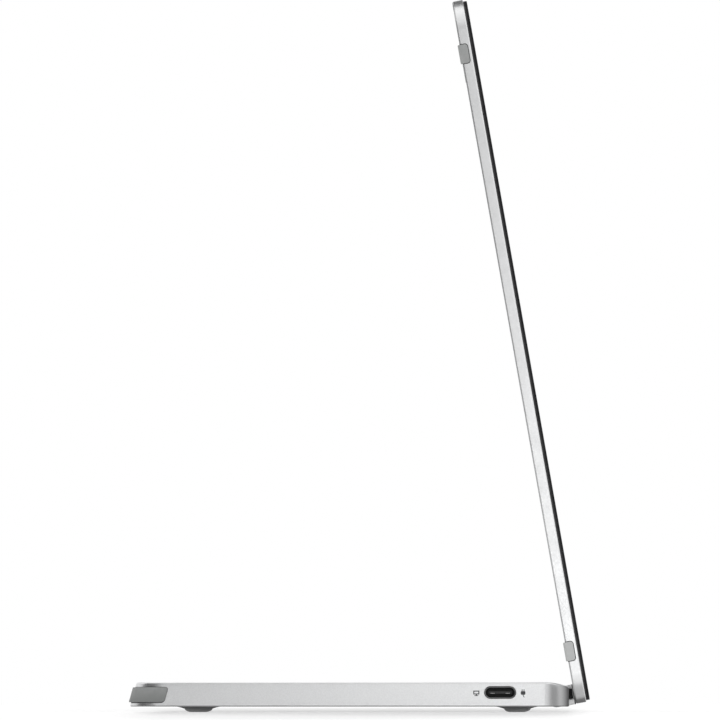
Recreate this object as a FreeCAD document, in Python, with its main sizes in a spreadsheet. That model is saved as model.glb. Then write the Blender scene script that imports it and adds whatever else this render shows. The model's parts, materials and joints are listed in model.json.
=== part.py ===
import FreeCAD, Part
import math
import os
import Sketcher

# Slim monitor whose display turns on a bar hinged into a flat base.
# Base frame: x across, y from the hinge end to the free end, z up from the underside.
# Display frame: display upright, origin on the hinge axis, screen towards -y.

# Driving sizes, in millimetres and degrees
SIZES = [
    # Whole unit
    ("unit_width", 312.0),
    ("lean_angle", 10.0),
    ("fit_gap", 0.15),
    ("cut_over", 1.0),
    # Base shell and bottom plate
    ("base_depth", 129.25),
    ("base_thick", 7.2),
    ("base_slant", 2.0),
    ("base_corner", 7.0),
    ("end_corner", 8.0),
    ("base_edge", 0.6),
    ("base_lower_edge", 0.25),
    ("brow_run", 7.0),
    ("brow_drop", 1.47),
    ("side_wall", 1.6),
    ("roof_wall", 1.0),
    ("plate_thick", 0.8),
    ("plate_rim", 0.8),
    # Hinge
    ("axis_from_end", 3.71),
    ("axis_below_top", 4.42),
    ("closed_gap", 0.9),
    ("axis_above_edge", 2.9),
    ("bar_radius", 3.0),
    ("horn_width", 58.0),
    ("notch_gap", 0.4),
    ("shaft_radius", 1.1),
    ("shaft_bore_radius", 0.7),
    ("running_gap", 0.03),
    ("press_gap", 0.02),
    ("bar_screw_rise", 0.6),
    ("sleeve_radius", 1.5),
    ("sleeve_length", 22.0),
    ("cap_depth", 2.0),
    ("cap_half_height", 1.5),
    ("cap_rise", 0.27),
    ("cap_wall", 0.35),
    ("bracket_length", 12.0),
    ("bracket_reach", 2.5),
    ("bracket_top", 2.1),
    ("flange_reach", 10.3),
    ("flange_thick", 1.4),
    ("flange_below_roof", 2.6),
    # Feet
    ("foot_height", 1.75),
    ("foot_flange_half", 5.9),
    ("foot_body_half", 4.0),
    ("foot_flange_drop", 0.75),
    ("foot_round", 0.95),
    ("front_foot_from_side", 36.0),
    ("front_foot_at", 15.4),
    ("rear_foot_from_side", 111.0),
    ("rear_foot_from_end", 18.6),
    # Corner bumpers
    ("bumper_low", 1.3),
    ("bumper_height", 4.4),
    ("bumper_run", 9.8),
    ("bumper_wrap", 26.0),
    ("bumper_out", 0.6),
    ("bumper_sunk", 0.8),
    ("bumper_round", 0.9),
    # Sockets
    ("port_at", 20.2),
    ("port_below_top", 3.05),
    ("port_width", 8.94),
    ("port_height", 3.26),
    ("port_length", 7.35),
    ("port_wall", 0.3),
    ("port_recess", 0.6),
    ("port_margin", 0.22),
    ("tongue_width", 6.7),
    ("tongue_thick", 0.7),
    ("tongue_length", 4.45),
    # Boards and what they carry
    ("board_thick", 0.8),
    ("board_edge_gap", 0.4),
    ("board_start", 15.2),
    ("main_board_length", 118.0),
    ("main_board_depth", 44.0),
    ("port_board_length", 52.0),
    ("port_board_depth", 62.0),
    ("chip_side", 14.0),
    ("chip_height", 1.3),
    ("shield_length", 36.0),
    ("shield_depth", 26.0),
    ("shield_height", 2.2),
    ("shield_wall", 0.2),
    ("socket_length", 3.2),
    ("socket_width", 14.0),
    ("socket_height", 1.4),
    ("ribbon_thick", 0.3),
    ("ribbon_width", 12.0),
    # Fasteners
    ("boss_radius", 2.2),
    ("boss_gap", 1.0),
    ("pilot_radius", 0.7),
    ("shank_radius", 0.65),
    ("shank_length", 2.2),
    ("head_radius", 1.5),
    ("head_height", 0.65),
    # Buttons
    ("key_out", 0.5),
    ("key_gap", 0.05),
    ("key_height", 2.2),
    ("key_flange_height", 2.8),
    ("key_flange_thick", 0.8),
    ("key_flange_lap", 1.0),
    ("power_at", 40.0),
    ("power_width", 9.0),
    ("power_travel", 0.3),
    ("rocker_at", 60.0),
    ("rocker_width", 16.0),
    ("rocker_gap", 0.4),
    ("rocker_slot_gap", 0.3),
    ("rocker_switch_gap", 0.25),
    ("rocker_lug_radius", 1.3),
    ("rocker_pin_radius", 0.6),
    ("rocker_pin_back", 2.2),
    ("switch_width", 4.0),
    ("switch_depth", 2.4),
    ("switch_height", 2.4),
    ("switch_spread", 5.5),
    # Display tray
    ("display_height", 209.85),
    ("housing_thick", 3.25),
    ("display_corner", 9.0),
    ("back_edge", 0.4),
    ("front_edge", 0.4),
    ("tray_side", 1.6),
    ("tray_back", 0.8),
    ("lip_from_side", 10.0),
    ("lip_rise", 0.45),
    ("lip_thick", 0.6),
    # Glass and screen stack
    ("glass_inset", 0.5),
    ("glass_thick", 0.7),
    ("glass_edge", 0.15),
    ("frame_thick", 0.4),
    ("panel_from_side", 4.0),
    ("panel_from_top", 3.8),
    ("panel_from_bottom", 11.5),
    ("lcd_thick", 0.9),
    ("backlight_thick", 1.75),
    ("led_height", 1.4),
    ("tape_width", 8.0),
    ("driver_from_side", 46.0),
    ("driver_height", 3.8),
    ("driver_above_axis", 3.0),
    ("driver_socket_lift", 0.8),
    ("driver_socket_half", 3.0),
    # Cable
    ("cable_radius", 0.5),
    ("cable_bend", 1.4),
    ("cable_sweep", 5.0),
    ("cable_turn", 9.0),
    ("cable_end_gap", 0.3),
    ("cable_side", 9.0),
    ("cable_rise", 0.62),
    ("cable_socket_at", 19.0),
    ("cable_hole_radius", 1.6),
    # Display pads
    ("pad_length", 5.6),
    ("pad_from_bottom", 15.5),
    ("pad_from_top", 15.9),
    ("pad_reach", 2.25),
    ("pad_wrap", 6.0),
    ("pad_out_side", 0.4),
    ("pad_out_back", 0.6),
    ("pad_sunk_side", 0.9),
    ("pad_sunk_back", 0.4),
    ("pad_round", 0.8),
]

# Places as shares of a board, of half the bar or of the width
MAIN_SCREW_SHARES = [(0.07, 0.86), (0.46, 0.86), (0.93, 0.12), (0.93, 0.86)]
PORT_SCREW_SHARES = [(0.12, 0.16), (0.12, 0.9), (0.86, 0.92)]
FRONT_SCREW_SHARES = [-0.28, 0, 0.28]
REAR_SCREW_SHARES = [-0.32, 0, 0.32]
BAR_SCREW_SHARES = [-0.78, -0.24, 0.24, 0.78]
BRACKET_SCREW_SHARES = [0.2, 0.8]
# Each chip: place along the board, place across it, side and height as shares of the largest chip
CHIP_SHARES = [(0.6, 0.5, 1, 1), (0.76, 0.5, 0.55, 0.8), (0.2, 0.3, 0.4, 0.8), (0.3, 0.6, 0.35, 1.2),
               (0.38, 0.6, 0.35, 1.2), (0.88, 0.5, 0.4, 0.7)]
SHIELD_SHARE = 0.65
TAPE_SHARES = [-0.84, -0.28, 0.28, 0.84]

# Two places closer than this count as one when edges are picked
SAME_PLACE = 1e-4


class Size:
    """A length or angle worked out from the sheet: its value now and the expression that gives it."""

    def __init__(self, value, text):
        self.value = value
        self.text = text

    def __neg__(self):
        return Size(-self.value, "(-" + self.text + ")")

    def __add__(self, other):
        other = as_size(other)
        return Size(self.value + other.value, "(" + self.text + " + " + other.text + ")")

    def __sub__(self, other):
        other = as_size(other)
        return Size(self.value - other.value, "(" + self.text + " - " + other.text + ")")

    def __mul__(self, other):
        other = as_size(other)
        return Size(self.value * other.value, "(" + self.text + " * " + other.text + ")")

    def __truediv__(self, other):
        other = as_size(other)
        return Size(self.value / other.value, "(" + self.text + " / " + other.text + ")")

    def __radd__(self, other):
        return as_size(other) + self

    def __rsub__(self, other):
        return as_size(other) - self

    def __rmul__(self, other):
        return as_size(other) * self


def as_size(number):
    """A plain number, such as a share, as a Size."""
    return number if isinstance(number, Size) else Size(number, "(" + repr(number) + ")")


def root(size):
    return Size(math.sqrt(size.value), "sqrt(" + size.text + ")")


def sine(angle):
    return Size(math.sin(math.radians(angle.value)), "sin(" + angle.text + ")")


def cosine(angle):
    return Size(math.cos(math.radians(angle.value)), "cos(" + angle.text + ")")


class Sheet:
    """The driving sizes by name, each as a Size bound to its cell."""


doc = FreeCAD.newDocument("monitor")
sheet = doc.addObject("Spreadsheet::Sheet", "Sizes")
S = Sheet()
for row, (alias, value) in enumerate(SIZES, 1):
    sheet.set("A%d" % row, alias)
    sheet.set("B%d" % row, str(value))
    sheet.setAlias("B%d" % row, alias)
    setattr(S, alias, Size(value, "Sizes." + alias))
doc.recompute()


# Building blocks
def bind(thing, name, size):
    """Bind one property to the sheet; zero stays as it is."""
    if isinstance(size, Size):
        thing.setExpression(name, size.text)


def block(name, x, y, z):
    """A box given by its low and high end along each axis."""
    box = doc.addObject("Part::Box", name)
    for side, letter, (low, high) in zip(("Length", "Width", "Height"), "xyz", (x, y, z)):
        bind(box, side, high - low)
        bind(box, "Placement.Base." + letter, low)
    return box


TURNS = {
    "x": FreeCAD.Rotation(FreeCAD.Vector(0, 1, 0), 90),
    "y": FreeCAD.Rotation(FreeCAD.Vector(1, 0, 0), -90),
    "z": FreeCAD.Rotation(),
}


def rod(name, axis, radius, low, high, **at):
    """A cylinder along one axis from low to high; the keywords place it on the other two."""
    cylinder = doc.addObject("Part::Cylinder", name)
    cylinder.Placement = FreeCAD.Placement(FreeCAD.Vector(), TURNS[axis])
    bind(cylinder, "Radius", radius)
    bind(cylinder, "Height", high - low)
    bind(cylinder, "Placement.Base." + axis, low)
    for letter, place in at.items():
        bind(cylinder, "Placement.Base." + letter, place)
    return cylinder


def fuse(name, *pieces):
    made = doc.addObject("Part::MultiFuse", name)
    made.Shapes = list(pieces)
    return made


def common(name, *pieces):
    made = doc.addObject("Part::MultiCommon", name)
    made.Shapes = list(pieces)
    return made


def cut(name, base, *tools):
    made = doc.addObject("Part::Cut", name)
    made.Base = base
    made.Tool = tools[0] if len(tools) == 1 else fuse(name + "_tools", *tools)
    return made


def group(name, *pieces):
    made = doc.addObject("Part::Compound", name)
    made.Links = list(pieces)
    return made


def sign_span(side, low, high):
    """The x range low to high on the right side, or its mirror image on the left."""
    return (low, high) if side > 0 else (-high, -low)


def even(size):
    """A range that reaches the same size to both sides of zero."""
    return (-size, size)


def draw(sketch, outline):
    """Draw a closed outline of (u, v) corners; (u, v, cu, cv) is reached by an arc about (cu, cv)."""
    corners = [tuple(as_size(n) for n in corner) for corner in outline]
    starts = []
    for i, corner in enumerate(corners):
        after = corners[(i + 1) % len(corners)]
        here = FreeCAD.Vector(corner[0].value, corner[1].value, 0)
        there = FreeCAD.Vector(after[0].value, after[1].value, 0)
        if len(after) == 2:
            sketch.addGeometry(Part.LineSegment(here, there), False)
            starts.append(1)
            continue
        centre = FreeCAD.Vector(after[2].value, after[3].value, 0)
        first = math.atan2(here.y - centre.y, here.x - centre.x)
        last = math.atan2(there.y - centre.y, there.x - centre.x)
        turn = (last - first + math.pi) % (2 * math.pi) - math.pi
        begin, end = (first, first + turn) if turn > 0 else (first + turn, first)
        circle = Part.Circle(centre, FreeCAD.Vector(0, 0, 1), (here - centre).Length)
        sketch.addGeometry(Part.ArcOfCircle(circle, begin, end), False)
        starts.append(1 if turn > 0 else 2)
    for i, start in enumerate(starts):
        after = (i + 1) % len(starts)
        sketch.addConstraint(Sketcher.Constraint("Coincident", i, 3 - start, after, starts[after]))
    for i, corner in enumerate(corners):
        hold(sketch, "DistanceX", i, starts[i], corner[0], "u%d" % i)
        hold(sketch, "DistanceY", i, starts[i], corner[1], "v%d" % i)
        if len(corner) == 4:
            hold(sketch, "DistanceX", (i - 1) % len(corners), 3, corner[2], "c%d" % i)


def hold(sketch, kind, line, point, size, name):
    """Hold one point of a line at a distance from the sketch origin."""
    number = sketch.addConstraint(Sketcher.Constraint(kind, -1, 1, line, point, size.value))
    sketch.renameConstraint(number, name)
    sketch.setExpression("Constraints." + name, size.text)


def prism(name, plane, outline, start, end):
    """A body padded from an outline on XY, XZ or YZ, between two distances along the plane's normal."""
    body = doc.addObject("PartDesign::Body", name)
    sketch = body.newObject("Sketcher::SketchObject", name + "_outline")
    support = [feature for feature in body.Origin.OriginFeatures if feature.Role == plane + "_Plane"]
    sketch.AttachmentSupport = [(support[0], "")]
    sketch.MapMode = "FlatFace"
    bind(sketch, "AttachmentOffset.Base.z", start)
    draw(sketch, outline)
    pad = body.newObject("PartDesign::Pad", name + "_pad")
    pad.Profile = sketch
    bind(pad, "Length", end - start)
    doc.recompute()
    return body


def rectangle(u, v):
    return [(u[0], v[0]), (u[1], v[0]), (u[1], v[1]), (u[0], v[1])]


def stadium(half_length, half_width):
    """A long outline with round ends, about the origin, along u."""
    end = half_length - half_width
    return [
        (-end, -half_width, -end, 0), (end, -half_width), (half_length, 0, end, 0),
        (end, half_width, end, 0), (-end, half_width), (-half_length, 0, -end, 0),
    ]


def near(a, b):
    return abs(a - as_size(b).value) < SAME_PLACE


def round_edges(body, radius, test, kind="Fillet"):
    """Round or bevel the edges of a body whose bounding boxes pass the test."""
    base = body.Tip
    names = ["Edge%d" % i for i, edge in enumerate(base.Shape.Edges, 1) if test(edge.BoundBox)]
    feature = body.newObject("PartDesign::" + kind, "%s_%s" % (body.Name, kind.lower()))
    feature.Base = (base, names)
    bind(feature, "Radius" if kind == "Fillet" else "Size", radius)
    doc.recompute()


def slot(name, x, y_centre, z_centre, width, height):
    """A bar along x with a long round-ended section."""
    end = (width - height) / 2
    return fuse(
        name,
        block(name + "_middle", x, (y_centre - end, y_centre + end),
              (z_centre - height / 2, z_centre + height / 2)),
        rod(name + "_near_end", "x", height / 2, x[0], x[1], y=y_centre - end, z=z_centre),
        rod(name + "_far_end", "x", height / 2, x[0], x[1], y=y_centre + end, z=z_centre),
    )


def screw(name, axis, low, grip, **at):
    """A flat-headed screw along one axis, its head below the low end of what it grips."""
    return fuse(
        name,
        rod(name + "_head", axis, S.head_radius, low - S.head_height, low, **at),
        rod(name + "_shank", axis, S.shank_radius,
            low - S.head_height / 2, low + grip + S.shank_length, **at),
    )


def tube(name, points, bend, radius):
    """A round cable along straight runs joined by arcs of one radius."""
    corners = [FreeCAD.Vector(*[as_size(n).value for n in point]) for point in points]
    edges = []
    here = corners[0]
    for before, corner, after in zip(corners, corners[1:], corners[2:]):
        back = (before - corner).normalize()
        ahead = (after - corner).normalize()
        half_turn = (math.pi - back.getAngle(ahead)) / 2
        trim = bend.value * math.tan(half_turn)
        inward = (back + ahead).normalize()
        middle = corner + inward * (bend.value / math.cos(half_turn) - bend.value)
        edges.append(Part.LineSegment(here, corner + back * trim).toShape())
        edges.append(Part.Arc(corner + back * trim, middle, corner + ahead * trim).toShape())
        here = corner + ahead * trim
    edges.append(Part.LineSegment(here, corners[-1]).toShape())
    path = Part.Wire(edges)
    section = Part.Wire(Part.makeCircle(radius.value, corners[0], corners[1] - corners[0]))
    made = doc.addObject("Part::Feature", name)
    made.Shape = path.makePipeShell([section], True, False)
    return made


# Places shared by several pieces
half_width = S.unit_width / 2
brow_radius = (S.brow_run * S.brow_run + S.brow_drop * S.brow_drop) / (S.brow_drop * 2)
roof = S.base_thick - S.roof_wall
wall_face = half_width - S.side_wall
axis_z = S.base_thick - S.axis_below_top
axis_to_back = S.axis_below_top + S.closed_gap
bar_half = half_width - S.horn_width
notch_half = bar_half + S.notch_gap
notch_depth = S.axis_from_end + S.bar_radius + S.notch_gap
bracket_start = notch_half + S.side_wall
shaft_outer = bracket_start + S.bracket_length
shaft_inner = bar_half - S.cap_depth - S.sleeve_length
port_z = S.base_thick - S.port_below_top
board_top = port_z - S.port_height / 2
board_low = board_top - S.board_thick
rear_foot_at = S.base_depth - S.rear_foot_from_end
bumper_high = S.bumper_low + S.bumper_height

PIECES = {"base": [], "display": []}


def keep(carrier, piece):
    """Keep a finished piece under its name, on the base or on the display."""
    PIECES[carrier].append(piece)
    return piece


# Base shell: outer form, room inside, seat of the bottom plate and notch of the hinge bar
outer = prism("base_outer", "YZ", [
    (0, 0),
    (S.base_depth, 0),
    (S.base_depth - S.base_slant, S.base_thick),
    (S.brow_run, S.base_thick),
    (0, S.base_thick - S.brow_drop, S.brow_run, S.base_thick - brow_radius),
], -half_width, half_width)


def upright(box):
    return box.XLength < SAME_PLACE and box.ZLength > SAME_PLACE


round_edges(outer, S.base_corner, lambda box: upright(box) and near(box.YMin, 0) and near(box.YMax, 0))
round_edges(outer, S.end_corner, lambda box: upright(box) and near(box.YMax, S.base_depth))
brow_end = (S.base_thick - S.brow_drop).value - SAME_PLACE
round_edges(outer, S.base_edge, lambda box: box.ZMin > brow_end
            and not (near(box.YMin, S.brow_run) and near(box.YMax, S.brow_run)))
round_edges(outer, S.base_lower_edge, lambda box: near(box.ZMax, 0), "Chamfer")

low_end = S.base_depth - S.side_wall + S.base_slant * S.cut_over / S.base_thick
inner_radius = brow_radius - S.roof_wall
brow_floor = S.base_thick - brow_radius + root(
    inner_radius * inner_radius - (S.brow_run - S.side_wall) * (S.brow_run - S.side_wall))
room_section = prism("room_section", "YZ", [
    (S.side_wall, -S.cut_over),
    (low_end, -S.cut_over),
    (S.base_depth - S.base_slant * roof / S.base_thick - S.side_wall, roof),
    (S.brow_run, roof),
    (S.side_wall, brow_floor, S.brow_run, S.base_thick - brow_radius),
], -wall_face, wall_face)
notch = block("notch", even(notch_half), (-S.cut_over, notch_depth), (-S.cut_over, S.base_thick + S.cut_over))
notch_wall = block("notch_wall", even(notch_half + S.side_wall), (-S.cut_over, notch_depth + S.side_wall),
                   (-S.cut_over * 2, S.base_thick + S.cut_over))
notch_rim = block("notch_rim", even(notch_half + S.plate_rim), (-S.cut_over, notch_depth + S.plate_rim),
                  (-S.cut_over * 2, S.base_thick + S.cut_over))
plate_inset = S.plate_rim + S.fit_gap
notch_edge = block("notch_edge", even(notch_half + plate_inset), (-S.cut_over, notch_depth + plate_inset),
                   (-S.cut_over, S.base_thick))


def plan(name, inset, low, high):
    """A plate of the base's plan, drawn in by an inset, with its four corners rounded."""
    made = prism(name, "XY", rectangle(even(half_width - inset), (inset, S.base_depth - inset)), low, high)
    round_edges(made, S.base_corner - inset, lambda box: near(box.YMax, inset) and box.ZLength > SAME_PLACE)
    round_edges(made, S.end_corner - inset,
                lambda box: near(box.YMin, S.base_depth - inset) and box.ZLength > SAME_PLACE)
    return made


room = common("base_room", room_section, plan("room_plan", S.side_wall, -S.cut_over, S.base_thick))
plate_seat = plan("plate_seat", S.plate_rim, -S.cut_over, S.plate_thick)
hollow = cut(
    "base_hollow", outer,
    cut("room_beside_notch", room, notch_wall),
    cut("seat_beside_notch", plate_seat, notch_rim),
    notch,
)

# Screw places: x, y, lowest point of the boss
main_corner = -(wall_face - S.board_edge_gap)
main_end = main_corner + S.main_board_length
port_corner = wall_face - S.board_edge_gap - S.port_board_length
board_places = [
    (main_corner + S.main_board_length * along, S.board_start + S.main_board_depth * across)
    for along, across in MAIN_SCREW_SHARES
]
port_places = [
    (port_corner + S.port_board_length * along, S.board_start + S.port_board_depth * across)
    for along, across in PORT_SCREW_SHARES
]
flange_top = roof - S.flange_below_roof
flange_low = flange_top - S.flange_thick
flange_end = S.axis_from_end + S.flange_reach
bracket_end = S.axis_from_end + S.bracket_reach
bracket_screw_y = (bracket_end + flange_end) / 2
bracket_places = [
    (side * (bracket_start + S.bracket_length * share), bracket_screw_y)
    for side in (-1, 1) for share in BRACKET_SCREW_SHARES
]
front_screw_y = notch_depth + S.side_wall + S.boss_radius + S.boss_gap
plate_places = [(S.unit_width * share, front_screw_y) for share in FRONT_SCREW_SHARES]
plate_places += [(S.unit_width * share, rear_foot_at) for share in REAR_SCREW_SHARES]
boss_places = [(x, y, board_top) for x, y in board_places + port_places]
boss_places += [(x, y, flange_top) for x, y in bracket_places]
boss_places += [(x, y, S.plate_thick) for x, y in plate_places]
bosses = [
    rod("boss_%d" % i, "z", S.boss_radius, low, roof + S.roof_wall / 2, x=x, y=y)
    for i, (x, y, low) in enumerate(boss_places)
]
pilots = [
    rod("pilot_%d" % i, "z", S.pilot_radius, low - S.cut_over, roof, x=x, y=y)
    for i, (x, y, low) in enumerate(boss_places)
]

# Openings of the sockets and keys in the side walls
port_slots = [
    slot("port_slot_%s" % name, sign_span(side, wall_face - S.cut_over, half_width + S.cut_over),
         S.port_at, port_z, S.port_width + S.port_margin * 2, S.port_height + S.port_margin * 2)
    for name, side in (("left", -1), ("right", 1))
]
key_span = (wall_face - S.cut_over, half_width + S.cut_over)
power_slot = slot("power_slot", key_span, S.power_at, port_z,
                  S.power_width + S.fit_gap * 2, S.key_height + S.fit_gap * 2)
rocker_slot = slot("rocker_slot", key_span, S.rocker_at, port_z,
                   S.rocker_width + S.rocker_slot_gap * 2, S.key_height + S.rocker_slot_gap * 2)
shaft_holes = rod("shaft_holes", "x", S.shaft_radius + S.fit_gap, -(bracket_start + S.fit_gap),
                  bracket_start + S.fit_gap, y=S.axis_from_end, z=axis_z)


# Corner bumpers: a band round each corner of the free end, let into the shell
def end_at(z):
    """Depth of the slanted free end at a height."""
    return S.base_depth - S.base_slant * z / S.base_thick


def end_form(name, grow):
    """The free half of the base grown or shrunk by a distance."""
    made = prism(name, "YZ", [
        (S.base_depth / 2, 0),
        (S.base_depth + grow, 0),
        (S.base_depth - S.base_slant + grow, S.base_thick),
        (S.base_depth / 2, S.base_thick),
    ], -(half_width + grow), half_width + grow)
    round_edges(made, S.end_corner + grow, lambda box: upright(box) and near(box.YMax, S.base_depth + grow))
    return made


def bumper_band(name, side, grow):
    """The slanted band that a bumper fills, grown all round by a gap."""
    low = S.bumper_low - grow
    high = bumper_high + grow
    run = S.bumper_run + grow
    start = half_width - S.bumper_wrap - grow
    span = sign_span(side, start, half_width + S.cut_over * 2)
    made = prism(name, "YZ", [
        (end_at(low) - run, low),
        (end_at(low) + S.cut_over * 2, low),
        (end_at(high) + S.cut_over * 2, high),
        (end_at(high) - run, high),
    ], span[0], span[1])
    round_edges(made, S.bumper_round, lambda box: box.XLength > SAME_PLACE and box.YMax < S.base_depth.value
                and box.YLength < SAME_PLACE)
    return made


bumper_skin = end_form("bumper_skin", S.bumper_out)
bumper_floor = end_form("bumper_floor", -S.bumper_sunk)
bumper_pockets = []
for name, side in (("left", -1), ("right", 1)):
    band = common(name + "_bumper_band", bumper_band(name + "_bumper_window", side, 0), bumper_skin)
    keep("base", cut(name + "_end_bumper", band, bumper_floor))
    pocket = bumper_band(name + "_bumper_opening", side, S.fit_gap)
    bumper_pockets.append(cut(name + "_bumper_pocket", pocket, bumper_floor))

keep("base", cut("base_shell", fuse("base_with_bosses", hollow, *bosses),
                 *pilots, *port_slots, power_slot, rocker_slot, shaft_holes, *bumper_pockets))

# Bottom plate with sunk screws
plate_cuts = []
for i, (x, y) in enumerate(plate_places):
    plate_cuts.append(rod("plate_hole_%d" % i, "z", S.pilot_radius,
                          -S.cut_over, S.plate_thick + S.cut_over, x=x, y=y))
    plate_cuts.append(rod("plate_sink_%d" % i, "z", S.head_radius + S.fit_gap,
                          -S.cut_over, S.head_height, x=x, y=y))
plate_sheet = plan("plate_plan", plate_inset, 0, S.plate_thick)
keep("base", cut("base_bottom_plate", plate_sheet, notch_edge, *plate_cuts))
keep("base", group("plate_screws", *[
    screw("plate_screw_%d" % i, "z", S.head_height, S.plate_thick - S.head_height, x=x, y=y)
    for i, (x, y) in enumerate(plate_places)
]))


# Foot strips: a round-ended body with a flared flange against the plate
def foot(name, y, from_side):
    sections = []
    half_length = half_width - from_side
    for level, (half, z) in enumerate(((S.foot_flange_half, 0), (S.foot_body_half, -S.foot_flange_drop))):
        ring = doc.addObject("Sketcher::SketchObject", "%s_ring_%d" % (name, level))
        draw(ring, stadium(half_length - S.foot_flange_half + half, half))
        bind(ring, "Placement.Base.y", y)
        bind(ring, "Placement.Base.z", z)
        sections.append(ring)
    flange = doc.addObject("Part::Loft", name + "_flange")
    flange.Sections = sections
    flange.Solid = True
    flange.Ruled = True
    body = prism(name + "_body", "XY",
                 stadium(half_length - S.foot_flange_half + S.foot_body_half, S.foot_body_half),
                 -S.foot_height, 0)
    round_edges(body, S.foot_round, lambda box: near(box.ZMax, -S.foot_height))
    bind(body, "Placement.Base.y", y)
    return fuse(name, flange, body)


keep("base", foot("front_foot_strip", S.front_foot_at, S.front_foot_from_side))
keep("base", foot("rear_foot_strip", rear_foot_at, S.rear_foot_from_side))

# Sockets: drawn shell with a block and tongue inside
for name, side in (("left", -1), ("right", 1)):
    mouth = half_width - S.port_recess
    back = mouth - S.port_length
    span = sign_span(side, back, mouth)
    over_span = sign_span(side, back - S.cut_over, mouth + S.cut_over)
    inner_width = S.port_width - S.port_wall * 2
    inner_height = S.port_height - S.port_wall * 2
    keep("base", cut(
        name + "_usb_c_shell",
        slot(name + "_port_outer", span, S.port_at, port_z, S.port_width, S.port_height),
        slot(name + "_port_inner", over_span, S.port_at, port_z, inner_width, inner_height),
    ))
    block_end = mouth - S.port_wall - S.tongue_length
    keep("base", fuse(
        name + "_usb_c_tongue",
        slot(name + "_port_block", sign_span(side, back, block_end),
             S.port_at, port_z, inner_width, inner_height),
        block(name + "_port_tongue", sign_span(side, block_end - S.port_wall, block_end + S.tongue_length),
              (S.port_at - S.tongue_width / 2, S.port_at + S.tongue_width / 2),
              (port_z - S.tongue_thick / 2, port_z + S.tongue_thick / 2)),
    ))

# Boards with their screws, chips, shield, sockets and ribbon
main_span = (main_corner, main_end)
port_span = (port_corner, port_corner + S.port_board_length)
board_levels = (board_low, board_top)
for name, span, depth, places in (("main_board", main_span, S.main_board_depth, board_places),
                                  ("port_board", port_span, S.port_board_depth, port_places)):
    holes = [
        rod("%s_hole_%d" % (name, i), "z", S.pilot_radius,
            board_low - S.cut_over, board_top + S.cut_over, x=x, y=y)
        for i, (x, y) in enumerate(places)
    ]
    board_sheet = block(name + "_sheet", span, (S.board_start, S.board_start + depth), board_levels)
    keep("base", cut(name, board_sheet, *holes))
keep("base", group("board_screws", *[
    screw("board_screw_%d" % i, "z", board_low, S.board_thick, x=x, y=y)
    for i, (x, y) in enumerate(board_places + port_places)
]))
chips = []
for i, (along, across, side_share, height_share) in enumerate(CHIP_SHARES):
    x = main_corner + S.main_board_length * along
    y = S.board_start + S.main_board_depth * across
    half = S.chip_side * side_share / 2
    chips.append(block("chip_%d" % i, (x - half, x + half), (y - half, y + half),
                       (board_top, board_top + S.chip_height * height_share)))
keep("base", group("board_chips", *chips))
ribbon_y = S.board_start + S.main_board_depth / 2
shield_x = main_corner + S.main_board_length * SHIELD_SHARE
shield_half = S.shield_length / 2
shield_room = shield_half - S.shield_wall
shield_side = S.shield_depth / 2
keep("base", cut(
    "board_shield",
    block("shield_can", (shield_x - shield_half, shield_x + shield_half),
          (ribbon_y - shield_side, ribbon_y + shield_side), (board_top, board_top + S.shield_height)),
    block("shield_room", (shield_x - shield_room, shield_x + shield_room),
          (ribbon_y - shield_side + S.shield_wall, ribbon_y + shield_side - S.shield_wall),
          (board_top - S.cut_over, board_top + S.shield_height - S.shield_wall)),
))
socket_levels = (board_top, board_top + S.socket_height)
socket_y = (ribbon_y - S.socket_width / 2, ribbon_y + S.socket_width / 2)
cable_x = -(shaft_outer + S.cable_side)
keep("base", group(
    "board_connectors",
    block("main_ribbon_socket", (main_end - S.socket_length, main_end), socket_y, socket_levels),
    block("port_ribbon_socket", (port_corner, port_corner + S.socket_length), socket_y, socket_levels),
    block("cable_socket", (cable_x - S.socket_length, cable_x + S.socket_length),
          (S.cable_socket_at, S.cable_socket_at + S.socket_length), socket_levels),
))
ribbon_z = board_top + S.socket_height / 2
keep("base", prism("board_ribbon", "XY",
                   rectangle((main_end, port_corner),
                             (ribbon_y - S.ribbon_width / 2, ribbon_y + S.ribbon_width / 2)),
                   ribbon_z - S.ribbon_thick / 2, ribbon_z + S.ribbon_thick / 2))

# Hinge brackets in the base with their hollow shafts
bracket_y = (S.side_wall + S.fit_gap, bracket_end)
for name, side in (("left", -1), ("right", 1)):
    span = sign_span(side, bracket_start, shaft_outer)
    holes = [
        rod("%s_bracket_hole_%d" % (name, i), "z", S.pilot_radius,
            flange_low - S.cut_over, flange_top + S.cut_over,
            x=side * (bracket_start + S.bracket_length * share), y=bracket_screw_y)
        for i, share in enumerate(BRACKET_SCREW_SHARES)
    ]
    keep("base", cut(
        name + "_hinge_bracket",
        fuse(
            name + "_bracket_form",
            block(name + "_bracket_barrel", span, bracket_y,
                  (S.plate_thick + S.fit_gap, axis_z + S.bracket_top)),
            block(name + "_bracket_flange", span, (bracket_end - S.cut_over, flange_end),
                  (flange_low, flange_top)),
        ),
        rod(name + "_bracket_bore", "x", S.shaft_radius + S.press_gap,
            span[0] - S.cut_over, span[1] + S.cut_over, y=S.axis_from_end, z=axis_z),
        *holes,
    ))
    span = sign_span(side, shaft_inner, shaft_outer)
    keep("base", cut(
        name + "_hinge_shaft",
        rod(name + "_shaft_rod", "x", S.shaft_radius, span[0], span[1], y=S.axis_from_end, z=axis_z),
        rod(name + "_shaft_bore", "x", S.shaft_bore_radius, span[0] - S.cut_over, span[1] + S.cut_over,
            y=S.axis_from_end, z=axis_z),
    ))
keep("base", group("bracket_screws", *[
    screw("bracket_screw_%d" % i, "z", flange_low, S.flange_thick, x=x, y=y)
    for i, (x, y) in enumerate(bracket_places)
]))
keep("base", tube("base_cable", [
    (cable_x, S.cable_socket_at - S.press_gap, axis_z + S.cable_rise),
    (cable_x, S.axis_from_end, axis_z),
    (-shaft_inner, S.axis_from_end, axis_z),
], S.cable_sweep, S.cable_radius))

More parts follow.
